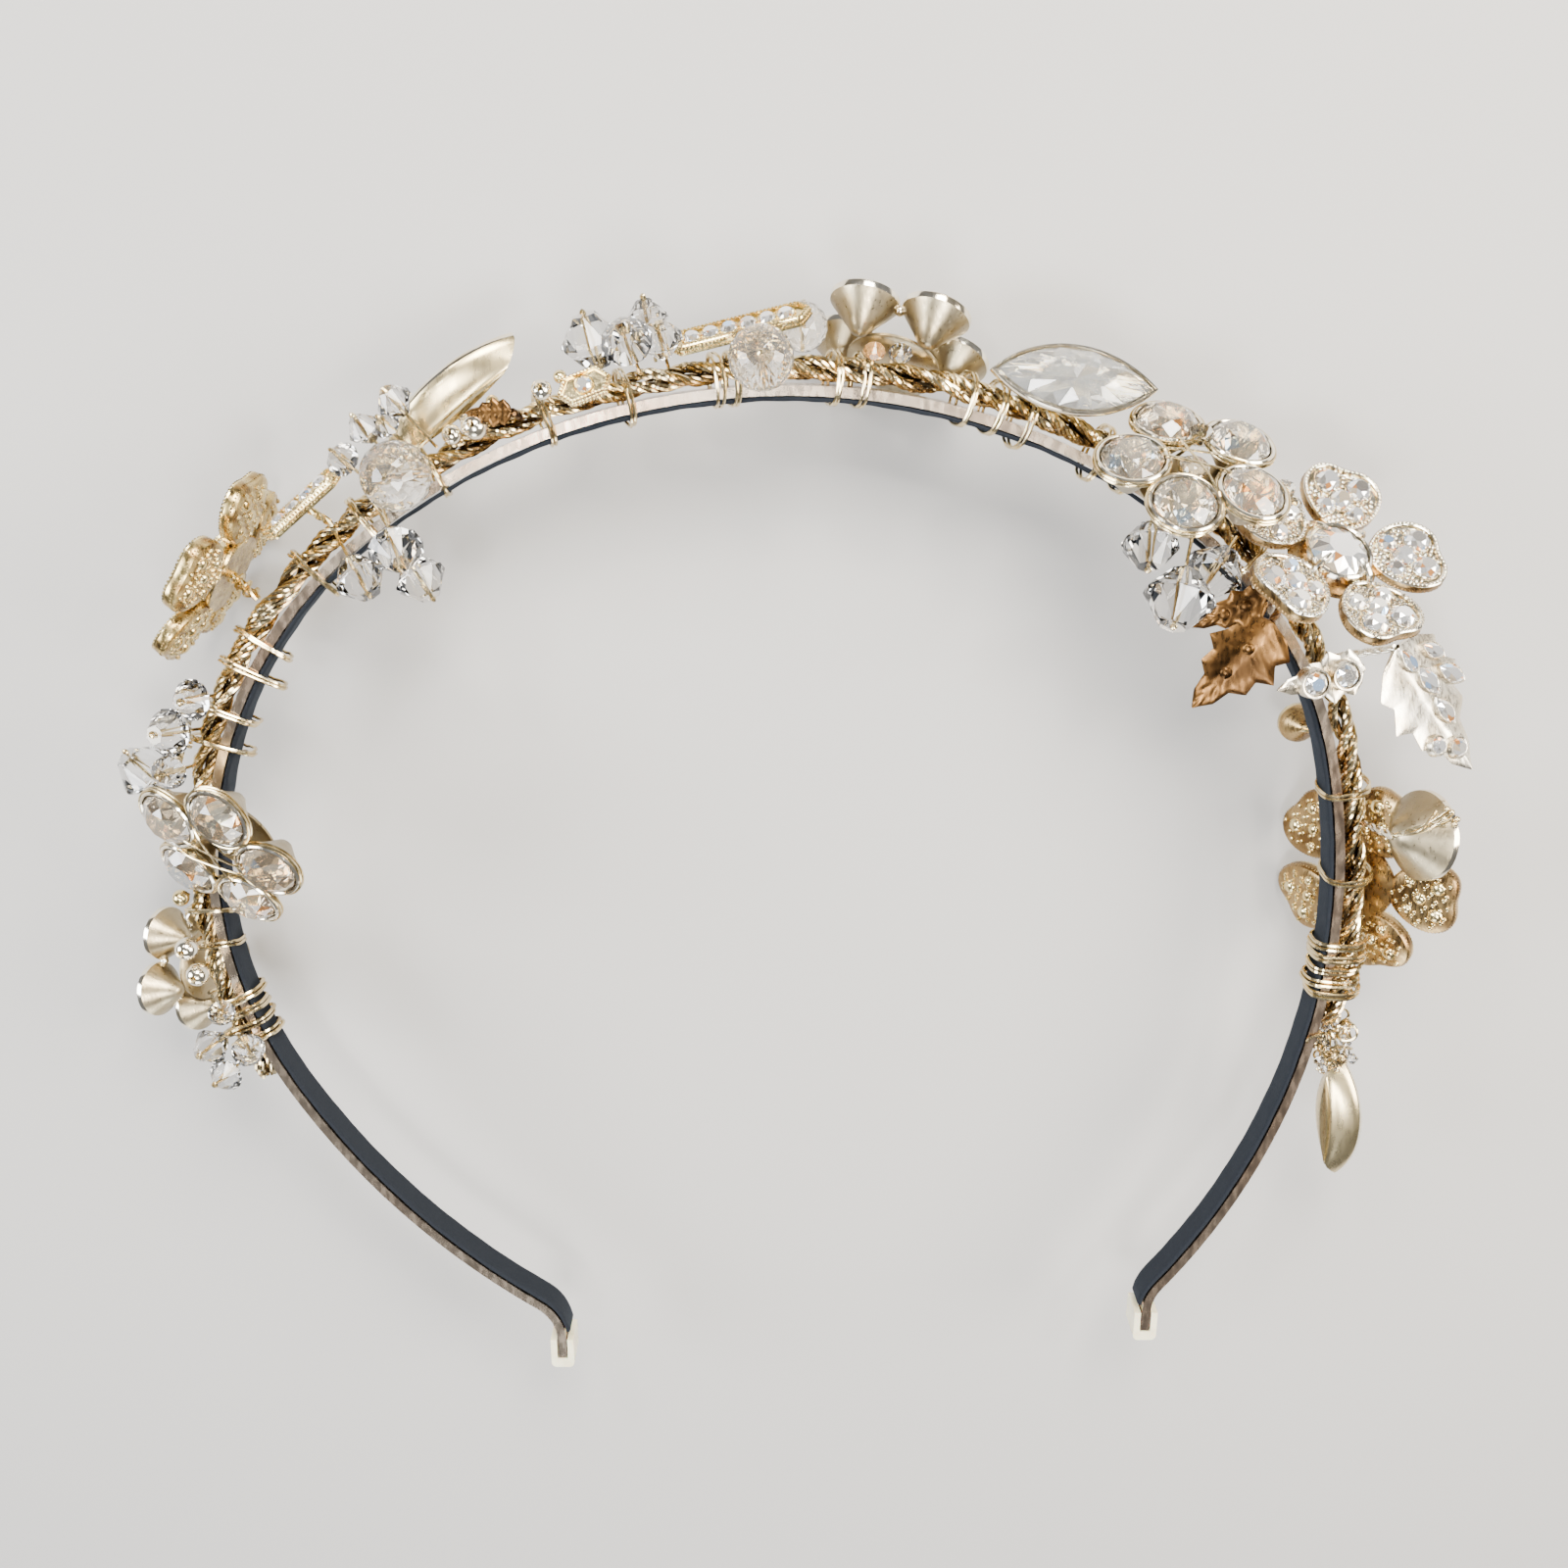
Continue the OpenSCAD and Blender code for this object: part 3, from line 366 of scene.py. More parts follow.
def pile_group():
    """Velvet pile: two dark tones in fine tufts, and their height for a bump."""
    group, source, sink = new_group("pile", [("Dark", "Color", (0.004, 0.005, 0.007, 1)),
        ("Light", "Color", (0.012, 0.015, 0.021, 1)), ("Pile Scale", "Float", 5200.0)],
        [("Color", "Color"), ("Height", "Float")])
    noise = noise_in(group, source, "Pile Scale", 4)
    tones = new_node(group, "Mix", data_type="RGBA")
    link(group, (noise, "Fac", tones, "Factor"), (source, "Dark", tones, MIX_A),
        (source, "Light", tones, MIX_B), (tones, MIXED, sink, "Color"),
        (noise, "Fac", sink, "Height"))
    return group


velvet, velvet_tree, velvet_skin = new_finish("velvet_ribbon", {"Roughness": 0.9,
    "Specular IOR Level": 0.15, "Sheen Weight": 0.05, "Sheen Roughness": 0.35,
    "Sheen Tint": (0.45, 0.6, 0.85, 1)})
pile = new_node(velvet_tree, "Group", node_tree=pile_group())
tufts = new_node(velvet_tree, "Bump", {"Strength": 0.5, "Distance": 0.1 * MM})
link(velvet_tree, (pile, "Color", velvet_skin, "Base Color"), (pile, "Height", tufts, "Height"),
    (tufts, "Normal", velvet_skin, "Normal"))
settle(ribbon, "ribbon", [velvet], "ribbon", ["lining"])

# The tip caps
# Soft cream caps dipped over the strip's two ends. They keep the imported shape, with their edges
# rounded as a dipped coat is.
CAP_ROUND = 0.3
cream, cream_tree, cream_skin = new_finish("cream_cap", {"Roughness": 0.38, "Coat Weight": 0.2,
    "Subsurface Weight": 0.25, "Subsurface Scale": 0.8 * MM})
cream_coat = new_node(cream_tree, "Group", {"Clean": (0.74, 0.70, 0.50, 1),
    "Worn": (0.58, 0.52, 0.34, 1), "Patch Scale": 420.0, "Wear": 0.6}, node_tree=TARNISH_AND_SHADE)
link(cream_tree, (cream_coat, "Color", cream_skin, "Base Color"))
for name in ("tip_left", "tip_right"):
    dress_node(name, cream, CAP_ROUND)

# The vine
# A rope of three bundles of thin wires, twisted by hand and laid along the outside of the strip.
# Every ornament's stem is twisted into it, so it swells and tightens along its way. Its inner wires
# get painted shade.
VINE_START, VINE_END, VINE_D = 0.695, 0.705, 3.5
VINE_OUT = STRIP_T / 2 + LAY_GAP + VINE_D / 2
VINE_STEPS = 640
VINE_TURNS, BUNDLE_TURNS = 17, 44
BUNDLES, BUNDLE_WIRES = 3, 5
BUNDLE_ORBIT, WIRE_ORBIT, THIN_WIRE_R = 0.93, 0.48, 0.235

PALE_WIRE = metal("pale_wire", (0.78, 0.65, 0.39), (0.40, 0.28, 0.12), 0.7, 0.1, 0.26, 3000, 420)


def add_tube(heap, path, radius, sides=6, closed=False, kind=0, shade_depths=None):
    """A round wire along a path. The depths say how deep it lies at each point, from 0 to 1, and so
    how much painted shade its faces get.
    """
    path = [Vector(p) for p in path]
    count = len(path)
    across = None
    points = []
    for i, here in enumerate(path):
        before = path[(i - 1) % count] if closed or i else here
        after = path[(i + 1) % count] if closed or i < count - 1 else here
        way = (after - before).normalized()
        if across is None:
            across = way.orthogonal().normalized()
        across = (across - way * across.dot(way)).normalized()
        other = way.cross(across)
        size = radius[i] if isinstance(radius, list) else radius
        for k in range(sides):
            a = 2 * math.pi * k / sides
            points.append(here + across * (size * math.cos(a)) + other * (size * math.sin(a)))
    faces = lattice(count, sides, close_rows=closed)
    tones = [shade_depths[i // sides] if shade_depths else 0.0 for i in range(len(faces))]
    if not closed:
        faces += [list(range(sides))[::-1], [(count - 1) * sides + k for k in range(sides)]]
        tones += [0.0, 0.0]
    pour(heap, points, faces, tones, kind)


def vine_swell(turn):
    """How far the rope swells at a share of its length, from 0.86 to 1."""
    return 0.93 + 0.04 * math.sin(turn * 61) + 0.03 * math.sin(turn * 143 + 2)


vine = new_heap()
for bundle in range(BUNDLES):
    for strand in range(BUNDLE_WIRES):
        path, shade_depths = [], []
        for i in range(VINE_STEPS + 1):
            t = i / VINE_STEPS
            share = -VINE_START + (VINE_START + VINE_END) * t
            main = 2 * math.pi * (VINE_TURNS * t + bundle / BUNDLES)
            main += 0.5 * math.sin(t * 37 + bundle)
            inner = 2 * math.pi * (BUNDLE_TURNS * t + strand / BUNDLE_WIRES)
            inner += 0.6 * math.sin(t * 53 + 2 * bundle)
            far = BUNDLE_ORBIT * vine_swell(t)
            near = WIRE_ORBIT + 0.06 * math.sin(t * 91 + strand * 1.7)
            out = far * math.cos(main) + near * math.cos(inner)
            rise = far * math.sin(main) + near * math.sin(inner)
            path.append(from_strip(share, 0, VINE_OUT + out, rise))
            # Painted shade: the nearer a wire lies to the rope's core, the darker it is painted.
            shade_depths.append(min(1, max(0, 1.5 - 1.25 * math.hypot(out, rise))))
        add_tube(vine, path, THIN_WIRE_R, 5, shade_depths=shade_depths)
settle(vine, "vine_rope", [PALE_WIRE], "pale_gold_metal", ["vine"])

# The binding wires
# Doubled thin wires wrapped by hand round the rope, the strip and the ribbon. Each wrap slants, and
# some were never pulled tight, so that they bulge inside the strip.
WRAPS = [-0.596, -0.572, -0.508, -0.457, -0.435, -0.404, -0.383, -0.325, -0.278, -0.225, -0.15,
    -0.1, -0.045, -0.035, 0.028, 0.045, 0.115, 0.135, 0.155, 0.21, 0.235, 0.335, 0.52, 0.585]
LOOSE_WRAPS = {-0.457: 1.9, -0.435: 1.1, -0.404: 2.3, -0.383: 1.4, -0.325: 1.9, -0.278: 1.2,
    -0.508: 1.3, -0.1: 0.5, 0.155: 0.6, 0.21: 0.8}
BINDING_R, WRAP_STEPS, WRAP_SLANT = 0.2, 44, 1.3
BINDING_GAP = 0.2


def wrap_point(share, angle, grow, slant, slack, along):
    """A point of a wire round ribbon, strip and rope: angle 0 is outward, 90 to the front."""
    inner = -STRIP_T / 2 - LAY_GAP - RIBBON_T - grow
    outer = VINE_OUT + VINE_D / 2 + grow
    middle = (inner + outer) / 2
    c, s = math.cos(angle), math.sin(angle)
    out = middle + (outer - middle) * math.copysign(abs(c) ** 0.75, c)
    over_rope = max(0, c - 0.25) / 0.75
    half = STRIP_W / 2 + grow - (STRIP_W - VINE_D) / 2 * over_rope
    rise = half * math.copysign(abs(s) ** 0.6, s)
    bulge = slack * max(0, -c) ** 1.5
    return from_strip(share, along + slant * s / 2 + bulge * 0.25, out - bulge, rise)


dice = random.Random(7)
bindings = new_heap()
for share in WRAPS:
    slack = LOOSE_WRAPS.get(share, 0.0)
    for side in (-1, 1):
        lean = WRAP_SLANT * dice.uniform(0.8, 1.6)
        own_slack = slack * dice.uniform(0.7, 1.1)
        path = []
        for k in range(WRAP_STEPS):
            angle = 2 * math.pi * k / WRAP_STEPS
            apart = BINDING_R + 0.02 + 0.08 * dice.random() * (1 + math.sin(2 * angle))
            path.append(wrap_point(share, angle, BINDING_GAP + BINDING_R, lean, own_slack,
                side * apart))
        add_tube(bindings, path, BINDING_R, closed=True)
settle(bindings, "binding_wires", [PALE_WIRE], "pale_gold_metal", ["bindings"])

# The end coils
# At each end of the vine the last wire is wound close round rope, ribbon and strip, and its tail is
# tucked under the turns. The right one is tighter.
COIL_INSET, COIL_WIRE_R = 0.046, 0.27


def end_coil(name, share, turns, pitch, node):
    heap = new_heap()
    own_dice = random.Random(name)
    steps = int(turns * WRAP_STEPS)
    for side in (-1, 1):
        drift = own_dice.uniform(0, 6)
        path = []
        for k in range(steps + 1):
            angle = 2 * math.pi * k / WRAP_STEPS
            grow = 0.46 + 0.16 * math.sin(angle * 0.37 + drift) + 0.1 * math.sin(angle * 1.3)
            slack = 0.35 * (1 + math.sin(angle * 0.61))
            path.append(wrap_point(share, angle, grow, 0.9, slack,
                pitch * (k - steps / 2) / WRAP_STEPS + side * 0.3))
        add_tube(heap, path, COIL_WIRE_R)
    settle(heap, name, [PALE_WIRE], "pale_gold_metal", [node])


end_coil("coil_wire_left", -VINE_START + COIL_INSET, 4, 2.0, "coil_left")
end_coil("coil_wire_right", VINE_END - COIL_INSET, 5, 1.75, "coil_right")

# The cup flowers
# Five round stones in cone-backed cups soldered rim to rim on a plate, with a ball in the middle.
# The cones are rubbed matte on the outside and bright at the rim. Seen from behind they are cones.
STONE_R, STONE_GAP, CUP_WALL, CUP_DEPTH, CUP_RIM = 3.6, 0.14, 0.4, 4.0, 1.0
CUP_RING, CUP_DISH, HUB_R, HUB_Z, HUB_T, HEART_R = 6.8, 7, 5.7, 0.4, 0.7, 1.7
CUP_R = STONE_R + STONE_GAP + CUP_WALL
CUPS, JOINT_R, RIM_WIRE_STEPS = 5, 0.75, 40
STEM_D, STEM_GAP, STEM_STRANDS, STEM_STEPS, STEM_LAY = 1.0, 0.3, 3, 12, 5
STEM_ORBIT, STEM_WIRE_R, RIM_WIRE_R = 0.27, 0.26, 0.15
CUP_FLOWERS = {"flower_tail": ((-0.617, 2.7, -4.1, -7, -27, 41), 0.87),
    "flower_side": ((-0.497, -7.7, 7.5, 60, 57, 3), 1),
    "flower_crest": ((0.066, 0.6, -2.9, -10, -35, 4), 1),
    "flower_front": ((0.264, -0.2, 7.8, 27, 34, -33), 1)}
WIRED_FLOWERS = ("flower_side", "flower_front")
STONE_HEARTED = "flower_front"
OVER_WIRES = [(20, -1.1), (31, 0.9), (148, 0.4)]
OVER_WIRE_BOW = [(-7.4, 3.4), (-5.6, 5.3), (-3, 5.6), (0, 5.7), (3, 5.6), (5.6, 5.3), (7.4, 3.4)]

BRIGHT_SILVER = metal("bright_silver", (0.94, 0.88, 0.74), (0.72, 0.57, 0.35), 0.6, 0.08, 0.2)
MATTE_CONE = metal("matte_cone", (0.44, 0.37, 0.24), (0.29, 0.22, 0.12), 0.8, 0.26, 0.4,
    3400, 180, 0.3)


def turn(axis, degrees):
    return Matrix.Rotation(math.radians(degrees), 4, axis)


def shift(x=0.0, y=0.0, z=0.0):
    return Matrix.Translation((x, y, z))


def on_vine(share):
    """The frame of a place on the rope: X along it, Y outward, Z to the front."""
    x, y, heading = strip_at(share)
    return shift(x, y, STRIP_MID) @ Matrix.Rotation(heading, 4, "Z") @ shift(y=VINE_OUT)


def seat(place):
    """The frame of an ornament from its row: share, reach, rise, swing, lean, spin."""
    share, reach, rise, swing, lean, spin = place
    return (on_vine(share) @ shift(0, reach, rise) @ turn("Z", swing) @ turn("X", lean - 90)
        @ turn("Z", spin))


def stem_root(hub):
    """Where the stem of an ornament starts beside the rope."""
    way = Vector((0, 0, hub.z)) if hub.y < 0 else Vector((0, hub.y, hub.z))
    return way.normalized() * (VINE_D / 2 + STEM_GAP)


def wound_path(base, start, way, radius, turns):
    """A wire wound round a straight line: turns holds a run and an angle for each point."""
    across = way.orthogonal().normalized()
    other = way.cross(across)
    return [base @ (start + way * run + (across * math.cos(angle) + other * math.sin(angle))
        * radius) for run, angle in turns]


def add_stem(heap, place, bite=0.3):
    """A stem of three twisted wires from the rope to the ornament's middle."""
    hub = Vector((0, place[1], place[2]))
    root = stem_root(hub)
    length = (hub - root).length + bite
    for strand in range(STEM_STRANDS):
        turns = [(length * k / STEM_STEPS, 2 * math.pi * (strand / STEM_STRANDS
            + length * k / STEM_STEPS / STEM_LAY)) for k in range(STEM_STEPS + 1)]
        path = wound_path(on_vine(place[0]), root, (hub - root).normalized(), STEM_ORBIT, turns)
        add_tube(heap, path, STEM_WIRE_R)


def round_edge(angle):
    return math.cos(angle), math.sin(angle)


def ring_points(base, radius, height, count, offset=0.0, outline=round_edge):
    """Points round an outline at one height of a seat."""
    points = []
    for k in range(count):
        x, y = outline(2 * math.pi * (k + offset) / count)
        points.append(base @ Vector((radius * x, radius * y, height)))
    return points


def add_spun(heap, base, profile, sides=40, kind=0):
    """A turned form from a profile of radius and height."""
    points = []
    for radius, height in profile:
        points += ring_points(base, radius, height, sides)
    pour(heap, points, lattice(len(profile), sides), kind=kind)


def add_ball(heap, base, at, radius, sides, kind=0, squash=1.0):
    """A small ball or grain, flattened along the seat's Z by squash."""
    rows = max(3, sides // 2)
    ball = base @ shift(*at)
    points = [ball @ Vector((0, 0, -radius * squash))]
    for i in range(1, rows):
        lat = math.pi * (i / rows - 0.5)
        points += ring_points(ball, radius * math.cos(lat), radius * squash * math.sin(lat), sides)
    points.append(ball @ Vector((0, 0, radius * squash)))
    top = len(points) - 1
    faces = [(0, 1 + (k + 1) % sides, 1 + k) for k in range(sides)]
    faces += [tuple(1 + f for f in face) for face in lattice(rows - 1, sides)]
    faces += [(top, top - sides + k, top - sides + (k + 1) % sides) for k in range(sides)]
    pour(heap, points, faces, kind=kind)


def add_cup(heap, base, radius, depth, rim):
    """A cup: a matte cone outside, a bright rolled rim and a bright inside."""
    inner = radius - CUP_WALL
    add_spun(heap, base, [(0.02, 0.02), (radius * 0.12, 0.06), (radius * 0.24, 0.3),
        (radius * 0.5, depth * 0.42), (radius * 0.76, depth * 0.73),
        (radius * 0.95, depth * 0.96), (radius, depth + 0.12)], kind=1)
    add_spun(heap, base, [(radius, depth + 0.12), (radius * 1.015, depth + rim * 0.5),
        (radius * 1.015, depth + rim * 0.82), (radius - 0.1, depth + rim),
        (inner + 0.12, depth + rim), (inner, depth + rim - 0.14), (inner, depth + 0.3),
        (radius * 0.2, 0.8), (0.02, 0.78)])


def flower_frames(name):
    """The frames of a cup flower's middle and of its five cups."""
    place, size = CUP_FLOWERS[name]
    base = seat(place) @ Matrix.Scale(size, 4)
    return base, [base @ turn("Z", 360 / CUPS * k) @ shift(CUP_RING) @ turn("Y", CUP_DISH)
        for k in range(CUPS)]


def add_rim_wires(heap, cup, k):
    """Two thin wires round the rim of a cup, a little uneven."""
    reach = CUP_R * 1.015 + RIM_WIRE_R
    for level in (0.2, 0.62):
        path = [cup @ Vector((reach * math.cos(a), reach * math.sin(a),
            CUP_DEPTH + CUP_RIM * level + 0.1 * math.sin(3 * a + k)))
            for a in (2 * math.pi * i / RIM_WIRE_STEPS for i in range(RIM_WIRE_STEPS))]
        add_tube(heap, path, RIM_WIRE_R, closed=True, kind=2)


def cup_flower(name):
    """The setting of a cup flower. A wired one has thin wires round its rims and over it."""
    heap = new_heap()
    base, cups = flower_frames(name)
    for k, cup in enumerate(cups):
        add_cup(heap, cup, CUP_R, CUP_DEPTH, CUP_RIM)
        if name in WIRED_FLOWERS:
            add_rim_wires(heap, cup, k)
        add_ball(heap, base @ turn("Z", 360 / CUPS * (k + 0.5)),
            (CUP_RING * 0.84, 0, CUP_DEPTH + 0.2), JOINT_R, 10, squash=0.9)
    add_spun(heap, base, [(0.02, HUB_Z), (HUB_R - 0.3, HUB_Z), (HUB_R, HUB_Z + 0.2),
        (HUB_R, HUB_Z + HUB_T - 0.2), (HUB_R - 0.3, HUB_Z + HUB_T), (0.02, HUB_Z + HUB_T)], kind=1)
    add_ball(heap, base, (0, 0, HUB_Z + HEART_R), HEART_R, 24)
    if name in WIRED_FLOWERS:
        for spin, aside in OVER_WIRES:
            over = base @ turn("Z", spin)
            path = [over @ Vector((x, aside + 0.25 * math.sin(x), height))
                for x, height in OVER_WIRE_BOW]
            add_tube(heap, path, RIM_WIRE_R, kind=2)
    if name == STONE_HEARTED:
        top = HUB_Z + 2 * HEART_R
        add_spun(heap, base, [(HEART_R * 0.7, top - 1), (HEART_R + 0.1, top - 0.2),
            (HEART_R + 0.2, top + 0.3), (HEART_R + 0.05, top + 0.5), (HEART_R - 0.1, top + 0.4),
            (HEART_R - 0.2, top), (0.02, top)], 24)
    add_stem(heap, CUP_FLOWERS[name][0])
    settle(heap, name + "_setting", [BRIGHT_SILVER, MATTE_CONE, PALE_WIRE], "silver_metal", [name])


for name in CUP_FLOWERS:
    cup_flower(name)

# The cut stones of the cup flowers
# Clear machine-cut crystals that show the bright cups behind them. Each has a table, star and kite
# facets, a thin girdle and a pointed back. Each facet is painted a reflection colour, mostly white,
# grey or warm, with a few painted orange or blue flashes of fire and a few dark.
# Painted reflection colours for cut facets; each facet picks one by its facet value.
PAINTED_FACET_TONES = [(0.0, (1.0, 1.0, 1.0)), (0.3, (0.80, 0.80, 0.80)), (0.48, (1.0, 0.96, 0.88)),
    (0.64, (0.56, 0.53, 0.49)), (0.76, (0.98, 0.82, 0.60)), (0.85, (1.0, 0.44, 0.14)),
    (0.92, (0.48, 0.68, 1.0)), (0.96, (0.36, 0.33, 0.30))]


def painted_facet_group():
    """Painted reflections of cut facets: clear, grey, and a few warm or blue painted flashes, one per
    facet.
    """
    group, source, sink = new_group("painted_facet_flash", [("Tint", "Color", (1, 1, 1, 1)),
        ("Painted Fire", "Float", 0.0)], [("Color", "Color")])
    facet = new_node(group, "Attribute", attribute_name="facet")
    painted_fire = new_node(group, "Math", operation="ADD")
    painted_flash = new_node(group, "ValToRGB")
    stops = painted_flash.color_ramp
    stops.interpolation = "CONSTANT"
    stops.elements[1].position = PAINTED_FACET_TONES[1][0]
    for position, _ in PAINTED_FACET_TONES[2:]:
        stops.elements.new(position)
    for stop, (_, colour) in zip(stops.elements, PAINTED_FACET_TONES):
        stop.color = (*colour, 1)
    tint = new_node(group, "Mix", {"Factor": 1.0}, data_type="RGBA", blend_type="MULTIPLY")
    link(group, (facet, "Fac", painted_fire, 0), (source, "Painted Fire", painted_fire, 1), (painted_fire, 0, painted_flash, "Fac"),
        (painted_flash, "Color", tint, MIX_A), (source, "Tint", tint, MIX_B),
        (tint, MIXED, sink, "Color"))
    return group


PAINTED_FACET_FLASH = painted_facet_group()


def cut_glass(name, transmission, metallic, roughness, tint=(1, 1, 1), painted_fire=0.0, coat=0.0):
    """Cut crystal: clear glass, or foiled glass that sends light back as a mirror does. Its colour is
    painted facet reflections, shifted by fire: below zero towards white, above it towards painted
    orange and blue flashes.
    """
    finish, tree, skin = new_finish(name, {"Transmission Weight": transmission,
        "Metallic": metallic, "Roughness": roughness, "IOR": 1.58, "Coat Weight": coat,
        "Coat Roughness": 0.02})
    painted_flash = new_node(tree, "Group", {"Tint": (*tint, 1), "Painted Fire": painted_fire}, node_tree=PAINTED_FACET_FLASH)
    link(tree, (painted_flash, "Color", skin, "Base Color"))
    return finish


# Each stone's fire shifts its painted facet reflections: below zero towards white, above zero towards
# more painted orange and blue flashes.
CLEAR_CRYSTAL = cut_glass("clear_crystal", 1.0, 0.0, 0.01, painted_fire=-0.24)
CUP_CRYSTAL = cut_glass("cup_crystal", 0.95, 0.0, 0.01, (1, 0.97, 0.92), 0.0, 1.0)
WARM_CRYSTAL = cut_glass("warm_crystal", 0.94, 0.0, 0.01, (1, 0.95, 0.84), 0.03, 1.0)
PAINTED_FIRE_CRYSTAL = cut_glass("painted_fire_crystal", 0.91, 0.0, 0.01, (1, 0.90, 0.74), 0.11, 1.0)
ICE_CRYSTAL = cut_glass("ice_crystal", 0.9, 0.0, 0.01, (0.97, 0.99, 1), -0.2, 1.0)
FOILED_CRYSTAL = cut_glass("foiled_crystal", 0.0, 0.8, 0.06, coat=1.0)


def add_gem(heap, base, outline, radius, low, girdle, crown, n, gem_dice, table=0.56):
    """A brilliant of n sides: low is the culet's depth, girdle its band, crown the rise."""
    rows = [(table, girdle + crown, n, 0), (0.8, girdle + crown * 0.62, n, 0.5),
        (1, girdle, 2 * n, 0), (1, 0, 2 * n, 0), (0.5, -low * 0.56, n, 0)]
    starts, points = [], []
    for share, height, count, offset in rows:
        starts.append(len(points))
        points += ring_points(base, radius * share, height, count, offset, outline)
    flat, star, upper, lower, back = starts
    culet = len(points)
    points.append(base @ Vector((0, 0, -low)))
    faces = [[flat + k for k in range(n)]]
    for k in range(n):
        m = (k + 1) % n
        here, after, ahead = 2 * k, 2 * k + 1, 2 * m
        faces += [(flat + k, star + k, flat + m), (flat + m, star + k, upper + ahead, star + m),
            (star + k, upper + here, upper + after), (star + k, upper + after, upper + ahead),
            (back + k, lower + after, lower + here), (back + k, lower + ahead, lower + after),
            (back + k, back + m, lower + ahead), (back + k, culet, back + m)]
    for k in range(2 * n):
        m = (k + 1) % (2 * n)
        faces.append((upper + k, lower + k, lower + m, upper + m))
    pour(heap, points, faces, [gem_dice.random() for _ in faces])


def settle_cut(heap, name, finish, node):
    settle(heap, name + "_cut", [finish], "crystal", [node], smooth=0)


for name, finish in (("flower_tail", CUP_CRYSTAL), ("flower_side", PAINTED_FIRE_CRYSTAL),
        ("flower_crest", CUP_CRYSTAL), ("flower_front", WARM_CRYSTAL)):
    stones = name + "_stones"
    heap = new_heap()
    own_dice = random.Random(stones)
    base, cups = flower_frames(name)
    for k, cup in enumerate(cups):
        bed = cup @ shift(z=CUP_DEPTH + 0.7) @ turn("Z", 11 * k)
        add_gem(heap, bed, round_edge, STONE_R, 3.1, 0.2, 1.35, 8, own_dice)
    if name == STONE_HEARTED:
        bed = base @ shift(z=HUB_Z + 2 * HEART_R + 0.3)
        add_gem(heap, bed, round_edge, HEART_R - 0.1, 0.7, 0.15, 0.8, 8, own_dice)
    settle_cut(heap, stones, finish, stones)

# The pave flowers
# Five cast petals round a large stone. Each petal is a tray with a beaded edge, set with five small
# stones and tiny grains between them. Its side is browner gold, and its back has bumps and grains.
PETALS, PETAL_R, PETAL_RING, PETAL_H, PETAL_RIM, PETAL_DISH = 5, 5.1, 8.9, 1.9, 0.5, 9
PETAL_LIFT, PETAL_FLOOR = 0.6, 0.7
CENTRE_R, COLLET_H, COLLET_RIM, PRONGS = 3.6, 2.6, 0.2, 4
PETAL_STONES = [(0.42, 0.43, 0.33), (0.42, -0.43, 0.33), (-0.05, 0, 0.3), (-0.38, 0.42, 0.24),
    (-0.38, -0.42, 0.24)]
GRAIN_R, CORNER_GRAIN_R, BACK_GRAIN_R = 0.27, 0.2, 0.34
GRAIN_GRID, GRAIN_ROWS, GRAIN_INSET, GRAIN_GAP = 0.62, 8, 0.75, 0.38
PAVE_PLACES = {"pave_front": (0.36, 5.2, 8.5, 35, 40, 14),
    "pave_side": (-0.361, 6.2, -2.3, 8, -2, 131), "pave_back": (0.6, 1.5, -3.2, 5, -42, 61)}
WOUND_STEM = "pave_side"
WOUND_TURNS, WOUND_STEPS, WOUND_PITCH, WOUND_ORBIT, WOUND_WIRE_R = 5, 16, 1.36, 0.85, 0.24

BROWN_GOLD = metal("brown_gold", (0.40, 0.27, 0.12), (0.17, 0.095, 0.035), 1.0, 0.18, 0.4,
    2200, 260, 0.2)
PALE_GOLD = metal("pale_gold", (0.86, 0.71, 0.37), (0.54, 0.36, 0.13), 0.7, 0.1, 0.28)
CAST_GOLD = metal("cast_gold", (0.60, 0.45, 0.19), (0.24, 0.14, 0.045), 1.0, 0.16, 0.36,
    1800, 600, 0.5)


def petal_edge(angle, inset):
    """A point of a petal's outline, notched at its wider outer end."""
    notch = 0.18 * max(0, math.cos(angle)) ** 12 + 0.12 * math.sin(angle / 2) ** 2
    reach = (PETAL_R - inset) * (1 - notch)
    return reach * math.cos(angle), reach * math.sin(angle) * (1 + 0.16 * math.cos(angle))


def add_walled(heap, base, edge, levels, sides, kind=0):
    """Stacked outlines: levels are (inset, height), and edge gives a point for angle and inset."""
    points = []
    for inset, height in levels:
        for k in range(sides):
            x, y = edge(2 * math.pi * k / sides, inset)
            points.append(base @ Vector((x, y, height)))
    pour(heap, points, lattice(len(levels), sides), kind=kind)


def add_collar(heap, base, x, y, height, radius):
    """A thin raised ring round a small stone."""
    add_spun(heap, base @ shift(x, y, height), [(radius + 0.26, -0.3), (radius + 0.24, 0.1),
        (radius + 0.14, 0.22), (radius + 0.03, 0.12), (radius + 0.02, -0.3)], 16)


def add_milgrain(heap, base, edge, inset, height, radius, spacing, kind=0):
    """A row of tiny beads along an outline."""
    fine = [edge(2 * math.pi * k / 240, inset) for k in range(241)]
    travelled, step = 0.0, 0.0
    for (x0, y0), (x1, y1) in zip(fine, fine[1:]):
        travelled += math.hypot(x1 - x0, y1 - y0)
        if travelled >= step:
            add_ball(heap, base, (x0, y0, height), radius, 6, kind)
            step += spacing


